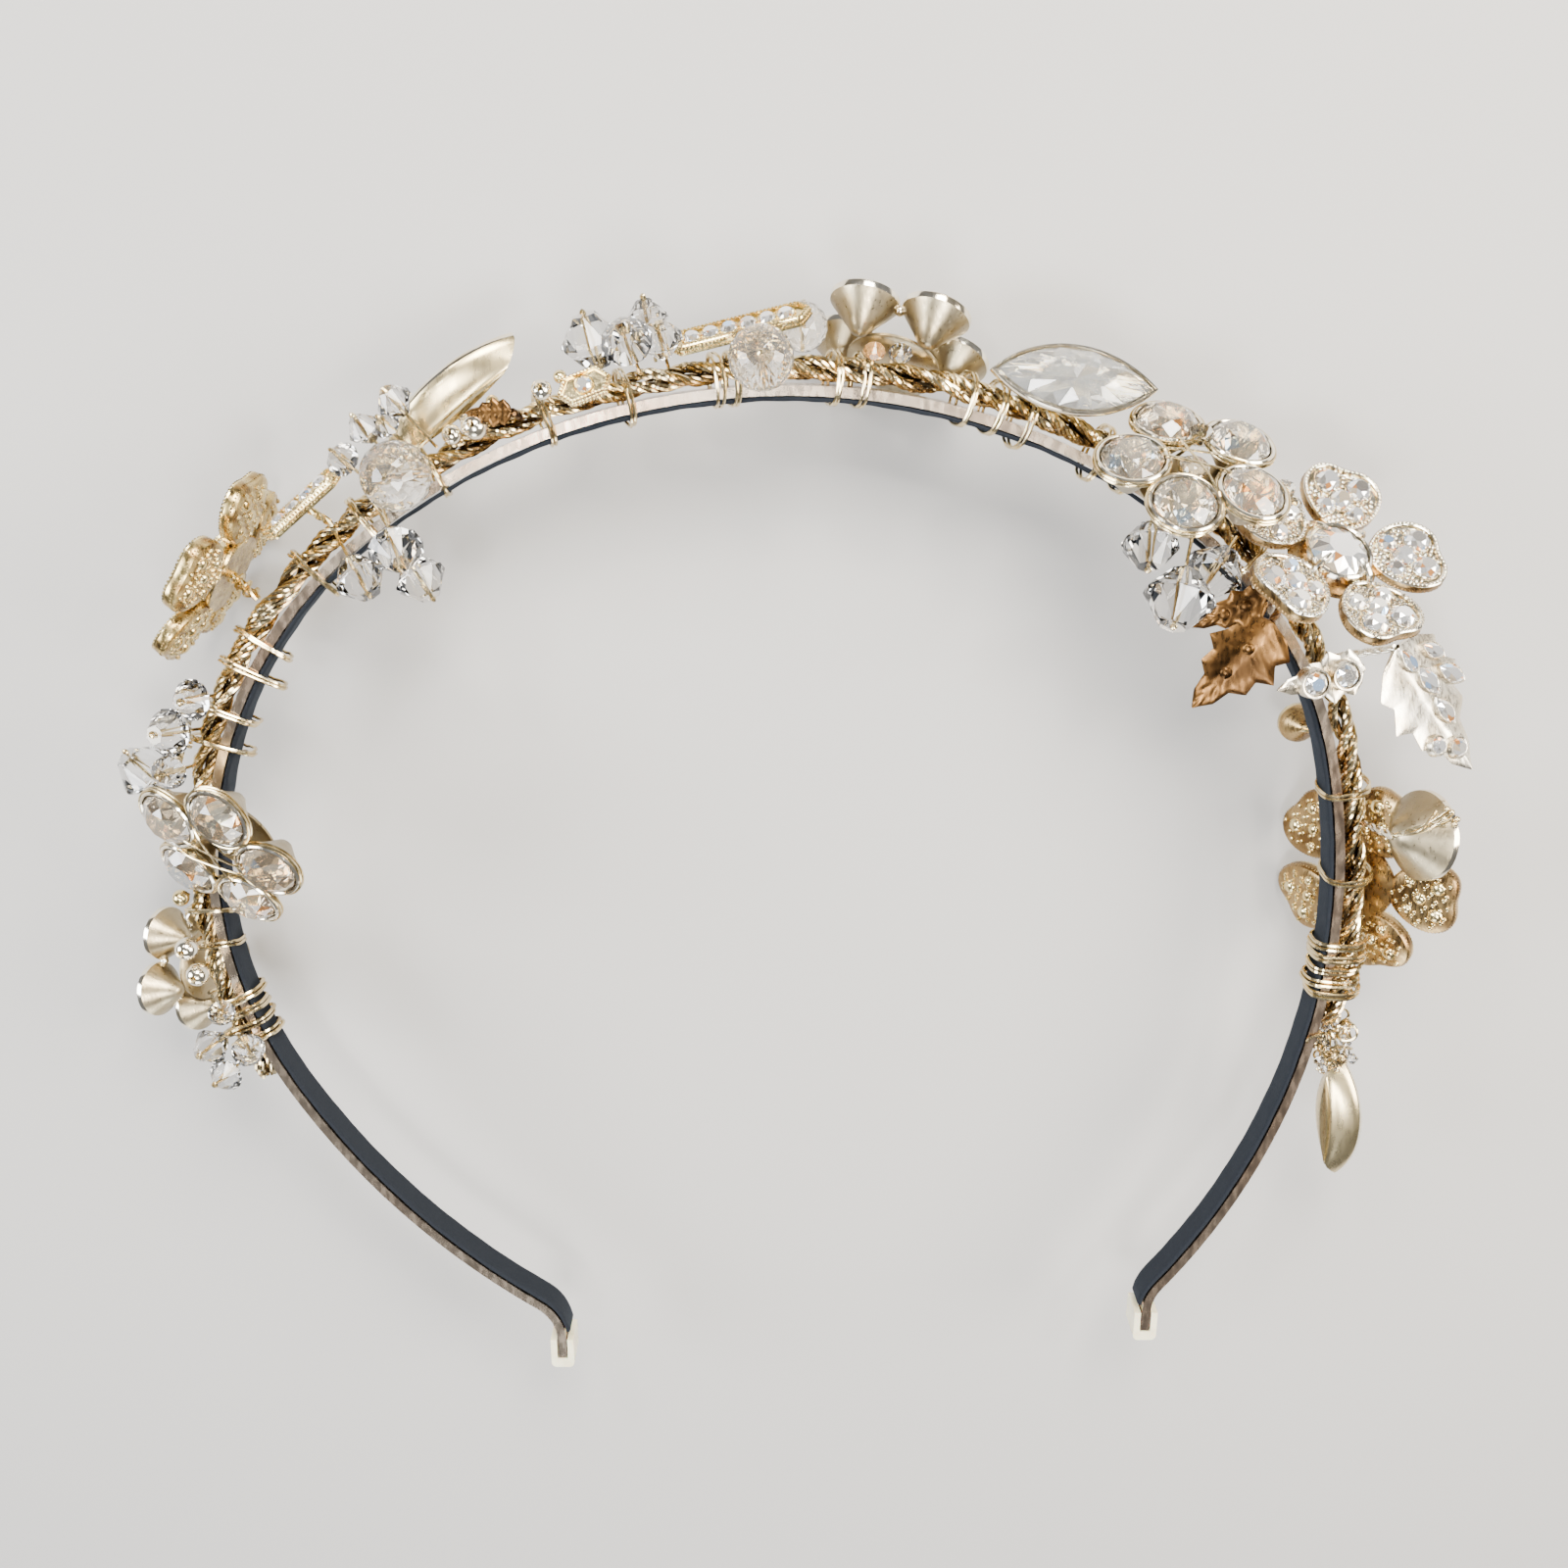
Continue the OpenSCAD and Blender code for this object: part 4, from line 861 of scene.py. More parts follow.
def add_grains(heap, petal, spots):
    """Grains in staggered rows: in front between the small stones, and sparser on the back."""
    for row in range(-GRAIN_ROWS, GRAIN_ROWS + 1):
        for column in range(-GRAIN_ROWS, GRAIN_ROWS + 1):
            x = GRAIN_GRID * (column + row % 2 / 2)
            y = GRAIN_GRID * 0.87 * row
            if math.hypot(x, y) >= math.hypot(*petal_edge(math.atan2(y, x), GRAIN_INSET)):
                continue
            if all(math.dist((x, y), (spot_x, spot_y)) > radius + GRAIN_GAP
                    for spot_x, spot_y, radius in spots):
                add_ball(heap, petal, (x, y, PETAL_H - 0.42), GRAIN_R, 6)
            if (row + column) % 3 == 0:
                add_ball(heap, petal, (x, y, 0.08), BACK_GRAIN_R, 8)


def add_petal(heap, gems, petal, own_dice):
    """One petal: tray, beaded edges, small stones in collars and the grains round them."""
    add_walled(heap, petal, petal_edge, [(PETAL_R - 0.02, 0.02), (2.4, 0.02), (0.9, 0.08),
        (0.25, 0.3), (0.02, 0.7), (0, 1.3), (0.04, PETAL_H - 0.3)], 48, 1)
    add_walled(heap, petal, petal_edge, [(0.04, PETAL_H - 0.3), (0.02, PETAL_H - 0.12),
        (0.16, PETAL_H), (0.42, PETAL_H), (0.55, PETAL_H - 0.1), (0.6, PETAL_H - 0.55),
        (1.0, PETAL_H - 0.72), (PETAL_R - 0.02, PETAL_H - 0.62)], 48)
    add_milgrain(heap, petal, petal_edge, 0.28, PETAL_H + 0.02, 0.21, 0.5)
    add_milgrain(heap, petal, petal_edge, 0.1, 0.75, 0.17, 0.44, 1)
    spots = [[(PETAL_R - PETAL_RIM) * share for share in stone] for stone in PETAL_STONES]
    for x, y, radius in spots:
        add_collar(heap, petal, x, y, PETAL_H - 0.35, radius)
        add_gem(gems, petal @ shift(x, y, PETAL_H - 0.2), round_edge, radius, 0.5, 0.12,
            radius * 0.5, 8, own_dice)
        add_ball(heap, petal, (x, y, 0.1), radius * 0.66, 12, squash=0.62)
        for corner in range(4):
            angle = math.pi / 2 * (corner + 0.5)
            add_ball(heap, petal, (x + (radius + 0.1) * math.cos(angle),
                y + (radius + 0.1) * math.sin(angle), PETAL_H - 0.02), CORNER_GRAIN_R, 6)
    add_grains(heap, petal, spots)


def pave_flower(name, finishes, slot):
    heap, gems, centre = new_heap(), new_heap(), new_heap()
    own_dice = random.Random(name)
    place = PAVE_PLACES[name]
    base = seat(place)
    for k in range(PETALS):
        petal = (base @ turn("Z", 360 / PETALS * k) @ shift(PETAL_RING, 0, PETAL_LIFT)
            @ turn("Y", -PETAL_DISH))
        add_petal(heap, gems, petal, own_dice)
    collet = CENTRE_R + STONE_GAP
    disc = PETAL_RING * 0.6
    add_spun(heap, base, [(0.02, 0.02), (disc, 0.02), (disc + 0.1, 0.3), (disc, PETAL_FLOOR),
        (collet + CUP_WALL, PETAL_FLOOR + 0.1)], kind=1)
    add_spun(heap, base, [(collet + CUP_WALL, PETAL_FLOOR + 0.1),
        (collet + CUP_WALL, COLLET_H - COLLET_RIM), (collet + COLLET_RIM, COLLET_H),
        (collet, COLLET_H - 0.1), (collet, PETAL_FLOOR + 0.1), (0.02, PETAL_FLOOR)])
    for k in range(PRONGS):
        prong = base @ turn("Z", 360 / PRONGS * k + 36)
        path = [prong @ Vector((collet + out, 0, height)) for out, height in (
            (1.5, PETAL_FLOOR), (1.1, PETAL_FLOOR + 1.4), (0.5, COLLET_H + 0.2),
            (-0.3, COLLET_H + 0.75), (-1.1, COLLET_H + 0.95))]
        add_tube(heap, path, [0.5, 0.45, 0.42, 0.38, 0.24], 8)
    add_stem(heap, place)
    if name == WOUND_STEM:
        root = stem_root(Vector((0, place[1], place[2])))
        turns = [(0.6 + WOUND_PITCH * k / WOUND_STEPS, 2 * math.pi * k / WOUND_STEPS)
            for k in range(WOUND_TURNS * WOUND_STEPS)]
        add_tube(heap, wound_path(on_vine(place[0]), root, root.normalized(), WOUND_ORBIT, turns),
            WOUND_WIRE_R)
    settle(heap, name + "_setting", finishes, slot, [name])
    settle_cut(gems, name + "_small", FOILED_CRYSTAL, name + "_stones")
    add_gem(centre, base @ shift(z=COLLET_H - 0.5), round_edge, CENTRE_R, 1.2, 0.2, 1.15, 10,
        own_dice, 0.5)
    settle_cut(centre, name + "_centre", FOILED_CRYSTAL, name + "_centre")


pave_flower("pave_front", [BRIGHT_SILVER, BROWN_GOLD], "pale_gold_metal")
pave_flower("pave_side", [PALE_GOLD, CAST_GOLD], "pale_gold_metal")
pave_flower("pave_back", [PALE_GOLD, BROWN_GOLD], "brown_gold_metal")

# The pave bars
# Narrow pointed troughs of pale gold, each with one row of round stones and a beaded edge.
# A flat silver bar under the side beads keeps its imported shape.
BAR_W, BAR_T, BAR_STONE_R, BAR_STONE_GAP, BAR_ROUND = 3.4, 1.5, 1.05, 0.15, 0.25
BARS = {"bar_side": ((-0.293, 4, 4.7, 0, 20, 4), 12), "bar_crest": ((-0.027, 4, 3, 10, 30, 0), 17),
    "sprig_plate": ((-0.117, 1, 5, 0, 60, 6), 6.4)}


def pointed_edge(length, width):
    """The outline of a bar with pointed ends, as a function of angle and inset."""
    shoulder = length / 2 - width * 0.35
    corners = [(length / 2, 0), (shoulder, width / 2), (-shoulder, width / 2), (-length / 2, 0),
        (-shoulder, -width / 2), (shoulder, -width / 2)]
    sides = list(zip(corners, corners[1:] + corners[:1]))
    runs = [math.dist(start, end) for start, end in sides]

    def edge(angle, inset):
        run = (angle % (2 * math.pi)) / (2 * math.pi) * sum(runs)
        for ((x0, y0), (x1, y1)), part in zip(sides, runs):
            if run <= part:
                break
            run -= part
        t = min(1, run / part)
        x, y = x0 + (x1 - x0) * t, y0 + (y1 - y0) * t
        return x * (1 - inset / (length / 2)), y * (1 - inset / (width / 2))
    return edge


for name, (place, length) in BARS.items():
    heap, gems = new_heap(), new_heap()
    own_dice = random.Random(name)
    base = seat(place)
    edge = pointed_edge(length, BAR_W)
    add_walled(heap, base, edge, [(BAR_W / 2 - 0.02, 0), (0.4, 0), (0.08, 0.14), (0, 0.5),
        (0, BAR_T - 0.2), (0.1, BAR_T), (0.34, BAR_T), (0.42, BAR_T - 0.4),
        (BAR_W / 2 - 0.02, BAR_T - 0.4)], 96)
    for inset, height in ((0.2, BAR_T), (0.02, BAR_T * 0.7), (0, BAR_T * 0.36)):
        add_milgrain(heap, base, edge, inset, height, 0.2, 0.44)
    pitch = 2 * BAR_STONE_R + BAR_STONE_GAP
    count = int((length - 2 * PETAL_RIM - BAR_STONE_R) / pitch)
    for k in range(count):
        x = (k - (count - 1) / 2) * pitch
        add_collar(heap, base, x, 0, BAR_T - 0.3, BAR_STONE_R - 0.08)
        add_gem(gems, base @ shift(x, 0, BAR_T - 0.2), round_edge, BAR_STONE_R - 0.05, 0.5, 0.1,
            0.5, 8, own_dice)
        add_ball(heap, base, (x, 0, 0.1), 0.6, 10, squash=0.5)
    add_stem(heap, place)
    settle(heap, name + "_setting", [PALE_GOLD], "pale_gold_metal", [name])
    settle_cut(gems, name, FOILED_CRYSTAL, name + "_stones")
dress_node("bar_plate", BRIGHT_SILVER, BAR_ROUND)

# The navettes
# Long pointed stones in thin boat settings. The back is a smooth shell of pale gold with two fine
# ridges along its keel, and the stone shows a lattice of long facets. The last hangs on two wires.
BOAT_WALL, BOAT_DEPTH, BOAT_RIM = 0.45, 2.6, 1.1
BOAT_TIP = 2.1 * BOAT_WALL
SATIN_GOLD = metal("satin_gold", (0.68, 0.56, 0.32), (0.50, 0.38, 0.19), 0.5, 0.24, 0.32,
    900, 70, 0.02)
NAVETTES = {
    "navette_side": ((-0.194, 5.8, 0.2, 14, -32, 0), 21, 7.6, "pale_gold_metal", FOILED_CRYSTAL),
    "navette_crest": ((0.174, 4.9, 2.9, 0, 62, 16), 20.5, 8.6, "silver_metal", ICE_CRYSTAL),
    "navette_drop": ((0.775, 5.8, 0.2, 22, -35, 0), 18.4, 6.9, "pale_gold_metal", FOILED_CRYSTAL)}
HUNG_NAVETTE = "navette_drop"
HANG_HOLD, HANG_WIRE_R = 0.36, 0.28


def navette_edge(half_long, half_wide):
    """The outline of two arcs that meet in points, as a function of angle and inset."""
    big = (half_long ** 2 + half_wide ** 2) / (2 * half_wide)

    def edge(angle, inset=0.0):
        x = half_long * math.cos(angle)
        y = math.sqrt(max(0, big * big - x * x)) - (big - half_wide)
        y = y if math.sin(angle) >= 0 else -y
        return x * (1 - inset / half_long), y * (1 - inset / half_wide)
    return edge


def hang_ends(place, length):
    """Where the last navette's wires leave the rope, and where they hold its boat."""
    swing, lean = math.radians(place[3]), math.radians(place[4])
    along, deep = -length * HANG_HOLD, -STEM_D * math.cos(lean)
    hold = Vector((along * math.cos(swing) - deep * math.sin(swing),
        place[1] + along * math.sin(swing) + deep * math.cos(swing),
        place[2] - STEM_D * math.sin(lean)))
    return from_strip(VINE_END, STEM_GAP + STEM_D / 2, VINE_OUT, 0), on_vine(place[0]) @ hold


for name, (place, length, width, slot, stone_finish) in NAVETTES.items():
    heap, gems = new_heap(), new_heap()
    base = seat(place)
    half = width / 2
    edge = navette_edge(length / 2, half)
    add_walled(heap, base, edge, [(half - 0.02, -BOAT_DEPTH), (half * 0.9, -BOAT_DEPTH),
        (half * 0.86, -BOAT_DEPTH + 0.3), (half * 0.74, -BOAT_DEPTH + 0.25),
        (half * 0.7, -BOAT_DEPTH + 0.5), (half * 0.52, -BOAT_DEPTH * 0.7),
        (half * 0.3, -BOAT_DEPTH * 0.42), (half * 0.12, -BOAT_DEPTH * 0.16), (half * 0.02, 0.1),
        (0, 0.5)], 72, 1)
    add_walled(heap, base, edge, [(0, 0.5), (0, BOAT_RIM - 0.15), (0.12, BOAT_RIM + 0.02),
        (BOAT_WALL - 0.08, BOAT_RIM + 0.02), (BOAT_WALL, BOAT_RIM - 0.1), (BOAT_WALL, 0.35),
        (half - 0.02, 0.3)], 72)
    stone_half = length / 2 - BOAT_TIP
    unit_edge = navette_edge(1, (half - BOAT_WALL - STONE_GAP) / stone_half)
    add_gem(gems, base @ shift(z=BOAT_RIM - 0.1), unit_edge, stone_half, 0.6, 0.15, 1.45, 14,
        random.Random(name), 0.5)
    if name == HUNG_NAVETTE:
        hang_from, hang_to = hang_ends(place, length)
        for side in (-1, 1):
            aside = Vector((side * HANG_WIRE_R, 0, side * HANG_WIRE_R))
            add_tube(heap, [hang_from + aside, (hang_from + hang_to) / 2 + aside * 1.6,
                hang_to + aside], HANG_WIRE_R, 8)
    else:
        add_stem(heap, place, 0)
    settle(heap, name + "_boat", [BRIGHT_SILVER, SATIN_GOLD], slot, [name])
    settle_cut(gems, name, stone_finish, name + "_stone")

# The leaves
# Stamped serrated leaves with a raised midrib and side veins. Two show their browned backs, a
# small one carries two round stones and the large one is strewn with pointed and round stones.
LEAF_T, LEAF_FOLD, LEAF_ALONG, LEAF_ACROSS = 0.7, 14, 60, 16
LEAF_EDGE = [(0, 0.1), (0.04, 0.5), (0.16, 0.9), (0.27, 0.72), (0.4, 1), (0.48, 0.66),
    (0.62, 0.7), (0.7, 0.38), (0.86, 0.3), (1, 0.02)]
BARE_LEAVES = {"leaf_inner": ((0.373, -3.7, 5.7, 0, 96, -76), 14, 10.5),
    "leaf_low": ((0.352, -2.6, 7.5, 0, 90, -109), 9.5, 5)}
LEAF_STAR, STAR_LONG, STAR_WIDE, STAR_STONE_R = (0.424, 2, 9.7, 0, 80, -106), 11, 6.4, 1.4
LEAF_SPRAY, SPRAY_LONG, SPRAY_WIDE = (0.426, 6.7, 7.7, 0, 58, 11), 20, 14
SPRAY_BACK, SPRAY_BOX = 1.8, 0.62
# A stone of the large leaf: shares of its length and half width, a radius, and whether it is pointed.
SPRAY_STONES = [(0.11, 0, 1.4, True), (0.305, 0.14, 1.8, True), (0.54, 0.1, 1.7, True),
    (0.79, -0.08, 1.2, False), (0.41, 0.66, 1.8, True), (0.2, 0.58, 1.5, True),
    (0.66, -0.44, 1.1, False)]

PEARL_SILVER = metal("pearl_silver", (0.84, 0.78, 0.66), (0.60, 0.48, 0.30), 0.6, 0.2, 0.36,
    2400, 260, 0.1)
LEAF_BROWN = metal("leaf_brown", (0.17, 0.085, 0.028), (0.055, 0.028, 0.011), 1.0, 0.22, 0.42,
    2000, 170, 0.2)


def leaf_half_width(t):
    for (t0, w0), (t1, w1) in zip(LEAF_EDGE, LEAF_EDGE[1:]):
        if t <= t1:
            return w0 + (w1 - w0) * (t - t0) / (t1 - t0)
    return LEAF_EDGE[-1][1]


def add_leaf(heap, base, length, width, fold, kinds=(0, 0), vein_rise=0.13):
    """A leaf: kinds are the finishes of its front and its back, vein_rise the side veins."""
    slope = math.tan(math.radians(fold))
    for face, kind in ((1, kinds[0]), (-1, kinds[1])):
        points = []
        for i in range(LEAF_ALONG + 1):
            t = i / LEAF_ALONG
            half = leaf_half_width(t) * width / 2
            for k in range(LEAF_ACROSS + 1):
                v = 2 * k / LEAF_ACROSS - 1
                y = v * half
                vein = 0.5 + 0.5 * math.cos((t * 9 - abs(v) * 1.6) * 2 * math.pi)
                z = LEAF_T / 2 + abs(y) * slope
                z += vein_rise * vein * min(1, abs(v) * 3) * (1 - abs(v))
                z += 0.22 * math.exp(-(y / 0.35) ** 2)
                thick = LEAF_T / 2 * (1 - 0.85 * abs(v) ** 4) * (1 - 0.7 * t ** 8)
                points.append(base @ Vector((t * length, y, z + face * thick)))
        faces = lattice(LEAF_ALONG + 1, LEAF_ACROSS + 1, close_columns=False)
        pour(heap, points, faces if face > 0 else [f[::-1] for f in faces], kind=kind)
    for side in (-1, 1):
        points = []
        for face in (1, -1):
            for i in range(LEAF_ALONG + 1):
                t = i / LEAF_ALONG
                y = side * leaf_half_width(t) * width / 2
                thick = LEAF_T / 2 * 0.15 * (1 - 0.7 * t ** 8)
                points.append(base @ Vector((t * length, y,
                    LEAF_T / 2 + abs(y) * slope + face * thick)))
        pour(heap, points, lattice(2, LEAF_ALONG + 1, close_columns=False), kind=kinds[0])


for name, (place, length, width) in BARE_LEAVES.items():
    heap = new_heap()
    add_leaf(heap, seat(place), length, width, LEAF_FOLD)
    for out in (0.3, 0.58):
        add_ball(heap, seat(place), (length * out, 0, LEAF_T / 2 + 0.3), 0.9, 14, squash=0.55)
    add_stem(heap, place)
    settle(heap, name + "_blade", [LEAF_BROWN], "brown_gold_metal", [name], smooth=60)

star, star_gems = new_heap(), new_heap()
add_leaf(star, seat(LEAF_STAR), STAR_LONG, STAR_WIDE, LEAF_FOLD, vein_rise=0.05)
for out in (0.26, 0.62):
    spot = seat(LEAF_STAR) @ shift(STAR_LONG * out, 0, LEAF_T * 0.6)
    add_spun(star, spot, [(STAR_STONE_R + 0.5, 0), (STAR_STONE_R + 0.46, 1.5),
        (STAR_STONE_R + 0.34, 1.9), (STAR_STONE_R + 0.16, 1.85), (STAR_STONE_R + 0.14, 1),
        (0.02, 1)], 28)
    add_gem(star_gems, spot @ shift(z=1.65), round_edge, STAR_STONE_R, 0.5, 0.1, 0.55, 8,
        random.Random(int(out * 100)))
add_stem(star, LEAF_STAR)
settle(star, "leaf_star_blade", [PEARL_SILVER], "silver_metal", ["leaf_star"], smooth=60)
settle_cut(star_gems, "leaf_star", FOILED_CRYSTAL, "leaf_star_stones")


def spray_box_edge(angle, inset):
    """The outline of the box behind the large leaf, a smaller leaf shape."""
    t = (1 - math.cos(angle)) / 2
    side = 1 if math.sin(angle) >= 0 else -1
    return (SPRAY_LONG * (0.5 + (t - 0.5) * SPRAY_BOX),
        SPRAY_BOX * leaf_half_width(t) * SPRAY_WIDE / 2 * side * (1 - inset))


spray, spray_gems = new_heap(), new_heap()
add_leaf(spray, seat(LEAF_SPRAY), SPRAY_LONG, SPRAY_WIDE, 0, (0, 1), 0.04)
add_walled(spray, seat(LEAF_SPRAY), spray_box_edge, [(0.98, -SPRAY_BACK), (0.12, -SPRAY_BACK),
    (0, -SPRAY_BACK + 0.2), (0, 0.3)], 72, 1)
for at, side, radius, pointed in SPRAY_STONES:
    spot = seat(LEAF_SPRAY) @ shift(SPRAY_LONG * at, side * SPRAY_WIDE / 2, LEAF_T)
    spot = spot @ turn("Z", 28 * (1 if side > 0.3 else -1 if side < -0.3 else 0.2))
    outline = navette_edge(1, 0.5) if pointed else round_edge
    reach = radius * 1.25 if pointed else radius
    collar_points = []
    for wall, height in ((0.3, -0.3), (0.28, 0.5), (0.18, 0.66), (0.04, 0.6), (0, 0.1)):
        collar_points += ring_points(spot, reach + wall, height, 32, outline=outline)
    pour(spray, collar_points, lattice(5, 32))
    add_gem(spray_gems, spot @ shift(z=0.45), outline, reach, 0.3, 0.1, 0.6, 8,
        random.Random(int(at * 1000)))
add_stem(spray, LEAF_SPRAY)
settle(spray, "leaf_spray_blade", [PEARL_SILVER, BROWN_GOLD], "silver_metal", ["leaf_spray"],
    smooth=60)
settle_cut(spray_gems, "leaf_spray", FOILED_CRYSTAL, "leaf_spray_stones")

# The two single cups
# A large cone-backed cup seen from behind, with binding wires drawn over it to a knot at its rim,
# and a small browned one behind the strip.
LONE_CUPS = {
    "cup_side": ((0.545, 2.1, 8.3, -14, -20, 0), 5.7, 4.2, [BRIGHT_SILVER, MATTE_CONE, PALE_WIRE],
        "silver_metal"),
    "cup_back": ((0.481, -3.4, -4.8, 0, -90, 0), 2.6, 2.6, [PALE_GOLD, BROWN_GOLD],
        "brown_gold_metal")}
KNOTTED_CUP = "cup_side"
KNOT_WIRE_R, KNOT_TURN_R = 0.17, 0.42
KNOT_WIRES = [(218, 1.04, 0.5), (223, 1.06, 0.9), (229, 1.03, 0.3), (236, 0.9, -0.6),
    (212, 0.84, 1.2)]
KNOT_TURNS = [(222, 1.05, 0.1), (231, 1.06, 0.5), (226, 0.92, -0.6), (216, 1.02, -0.2),
    (236, 1.03, 0)]


def add_knot(heap, base, radius, depth):
    """Wires drawn up the cone of a cup, and the turns of their knot at its rim."""
    for facing, reach, bow in KNOT_WIRES:
        over = base @ turn("Z", facing)
        path = [over @ Vector((radius * s * reach + 0.24, bow * math.sin(math.pi * s),
            depth * s * reach - 0.3)) for s in (0, 0.15, 0.3, 0.45, 0.6, 0.75, 0.9, 1)]
        add_tube(heap, path, KNOT_WIRE_R, kind=2)
    for facing, out, down in KNOT_TURNS:
        add_ball(heap, base @ turn("Z", facing), (radius * out + 0.1, 0, depth + down),
            KNOT_TURN_R, 10, 2)


for name, (place, radius, depth, finishes, slot) in LONE_CUPS.items():
    heap, gems = new_heap(), new_heap()
    base = seat(place)
    add_cup(heap, base, radius, depth, CUP_RIM)
    add_stem(heap, place)
    if name == KNOTTED_CUP:
        add_knot(heap, base, radius, depth)
    add_gem(gems, base @ shift(z=depth + 0.7), round_edge, radius - CUP_WALL - STONE_GAP,
        depth * 0.7, 0.2, radius * 0.35, 10, random.Random(name))
    settle(heap, name + "_setting", finishes, slot, [name])
    settle_cut(gems, name, CLEAR_CRYSTAL, name + "_stone")

# The beads
# Clear cut bicones and round beads, and small silver balls, threaded on thin wires that come out
# of the vine and are turned into a small loop on top of each bead.
BEAD_WIRE_R, BEAD_SWELL, BICONE_SIDES = 0.22, 1.1, 6
ROUND_BEAD_SIDES, ROUND_BEAD_ROWS = 18, [82, 65, 47, 28, 9, -9, -28, -47, -65, -82]
# Each bead has a share, a drift along the vine, a reach, a rise and a radius.
BEADS = {
    "beads_tail": [(-0.654, 0, 2.4, 5.7, 2.3), (-0.675, 0, 2.5, 5.7, 2.1),
        (-0.6645, 0, -2, 5.7, 2), (-0.634, 0, -0.9, 5.7, 1.6)],
    "beads_side": [(-0.423, 0, 1.9, 6.7, 2.4), (-0.447, 0, 3.2, 6.7, 2.8),
        (-0.5, 4, 6.5, 1.7, 3.4), (-0.471, 0, 2.2, 6.7, 2)],
    "beads_inner_left": [(-0.294, 0, -6, 6.7, 2.9), (-0.259, 0, -6, 9.7, 3),
        (-0.264, 0, -10.4, 5.7, 2.9)],
    "beads_crest": [(-0.109, 0, 6, 1.2, 3.4), (-0.086, 0, 5.2, 10.2, 2.7),
        (-0.077, 0, 7.1, 0.7, 2.3), (-0.07, 0, 4.7, 6.2, 2.4)],
    "beads_inner_right": [(0.25, 2.8, -7.3, 7.7, 3.1), (0.285, 2.8, -10.1, 10.7, 3.9),
        (0.319, 0, -4.9, 5.2, 3.4)],
    "bead_round_side": [(-0.236, 0, 0.9, 7.7, 4.2)],
    "beads_round_crest": [(-0.016, 0, 1.6, 8.2, 3.8), (0.008, 0, 4.6, -2.4, 3)],
    "beads_sprig": [(-0.258, 0, 5.8, 5.7, 1.9), (-0.241, 0, 7.4, 3.7, 1.9),
        (-0.214, 0, 8, 7.9, 2), (-0.227, 0, 6.2, 5.7, 1.5)],
    "balls": [(-0.185, 0, 1.5, 4.7, 1.6), (-0.199, 0, 1.8, 4.7, 1.2), (-0.14, 0, 2.5, 6.7, 1.2),
        (-0.587, 0, 0.9, 5.7, 1.5), (-0.605, 0, 0.4, 5.7, 1.5)]}
ROUND_BEADS = ("bead_round_side", "beads_round_crest")
WARM_BEAD = cut_glass("warm_bead", 0.95, 0.0, 0.02, (1, 0.97, 0.92), -0.24)


def add_bicone(heap, base, radius, bead_dice):
    """A cut bicone: wide facets from each hole and narrow ones between, out to a sharp waist."""
    n = BICONE_SIDES
    points, starts = [], []
    for share, height, count in ((0.4, 0.84, n), (1, 0.03, 2 * n), (1, -0.03, 2 * n),
            (0.4, -0.84, n)):
        starts.append(len(points))
        points += ring_points(base, radius * share, radius * height, count)
    top, upper, lower, bottom = starts
    faces = [list(range(n)), list(range(bottom, bottom + n))[::-1]]
    for k in range(2 * n):
        m = (k + 1) % (2 * n)
        faces.append((upper + k, lower + k, lower + m, upper + m))
    for hole, waist, way in ((top, upper, 1), (bottom, lower, -1)):
        for k in range(n):
            before = waist + (2 * k - 1) % (2 * n)
            here, after = waist + 2 * k, waist + 2 * k + 1
            faces += [face[::way] for face in ((hole + k, after, hole + (k + 1) % n),
                (hole + k, before, here), (hole + k, here, after))]
    pour(heap, points, faces, [bead_dice.random() for _ in faces])


def add_round_bead(heap, base, radius, bead_dice):
    """A round bead, cut all over in staggered rows of small three-sided facets."""
    n = ROUND_BEAD_SIDES
    points = []
    for row, degrees in enumerate(ROUND_BEAD_ROWS):
        lat = math.radians(degrees)
        points += ring_points(base, radius * math.cos(lat), radius * math.sin(lat), n, row % 2 / 2)
    last = len(points) - n
    faces = [list(range(n)), list(range(last, last + n))[::-1]]
    for a in range(0, last, n):
        b = a + n
        for k in range(n):
            m = (k + 1) % n
            if a // n % 2:
                faces += [(a + k, b + k, b + m), (a + k, b + m, a + m)]
            else:
                faces += [(a + k, b + k, a + m), (a + m, b + k, b + m)]
    pour(heap, points, faces, [bead_dice.random() for _ in faces])


def bead_line(reach, rise, drift):
    """Where a bead's wire starts, where the bead's middle is, and the way between them."""
    root = stem_root(Vector((0, reach, rise)))
    middle = Vector((drift, reach, rise))
    return root, middle, (middle - root).normalized()


for name, beads in BEADS.items():
    if name == "balls":
        continue
    heap = new_heap()
    own_dice = random.Random(name)
    for share, drift, reach, rise, radius in beads:
        root, middle, way = bead_line(reach, rise, drift)
        bead = (on_vine(share) @ shift(*middle) @ way.to_track_quat("Z", "Y").to_matrix().to_4x4()
            @ turn("X", own_dice.uniform(-22, 22)) @ turn("Z", own_dice.uniform(0, 60)))
        if name in ROUND_BEADS:
            add_round_bead(heap, bead, radius, own_dice)
        else:
            add_bicone(heap, bead, radius * BEAD_SWELL, own_dice)
    settle_cut(heap, name, WARM_BEAD if name in ROUND_BEADS else CLEAR_CRYSTAL, name)
dress_node("balls", BRIGHT_SILVER)

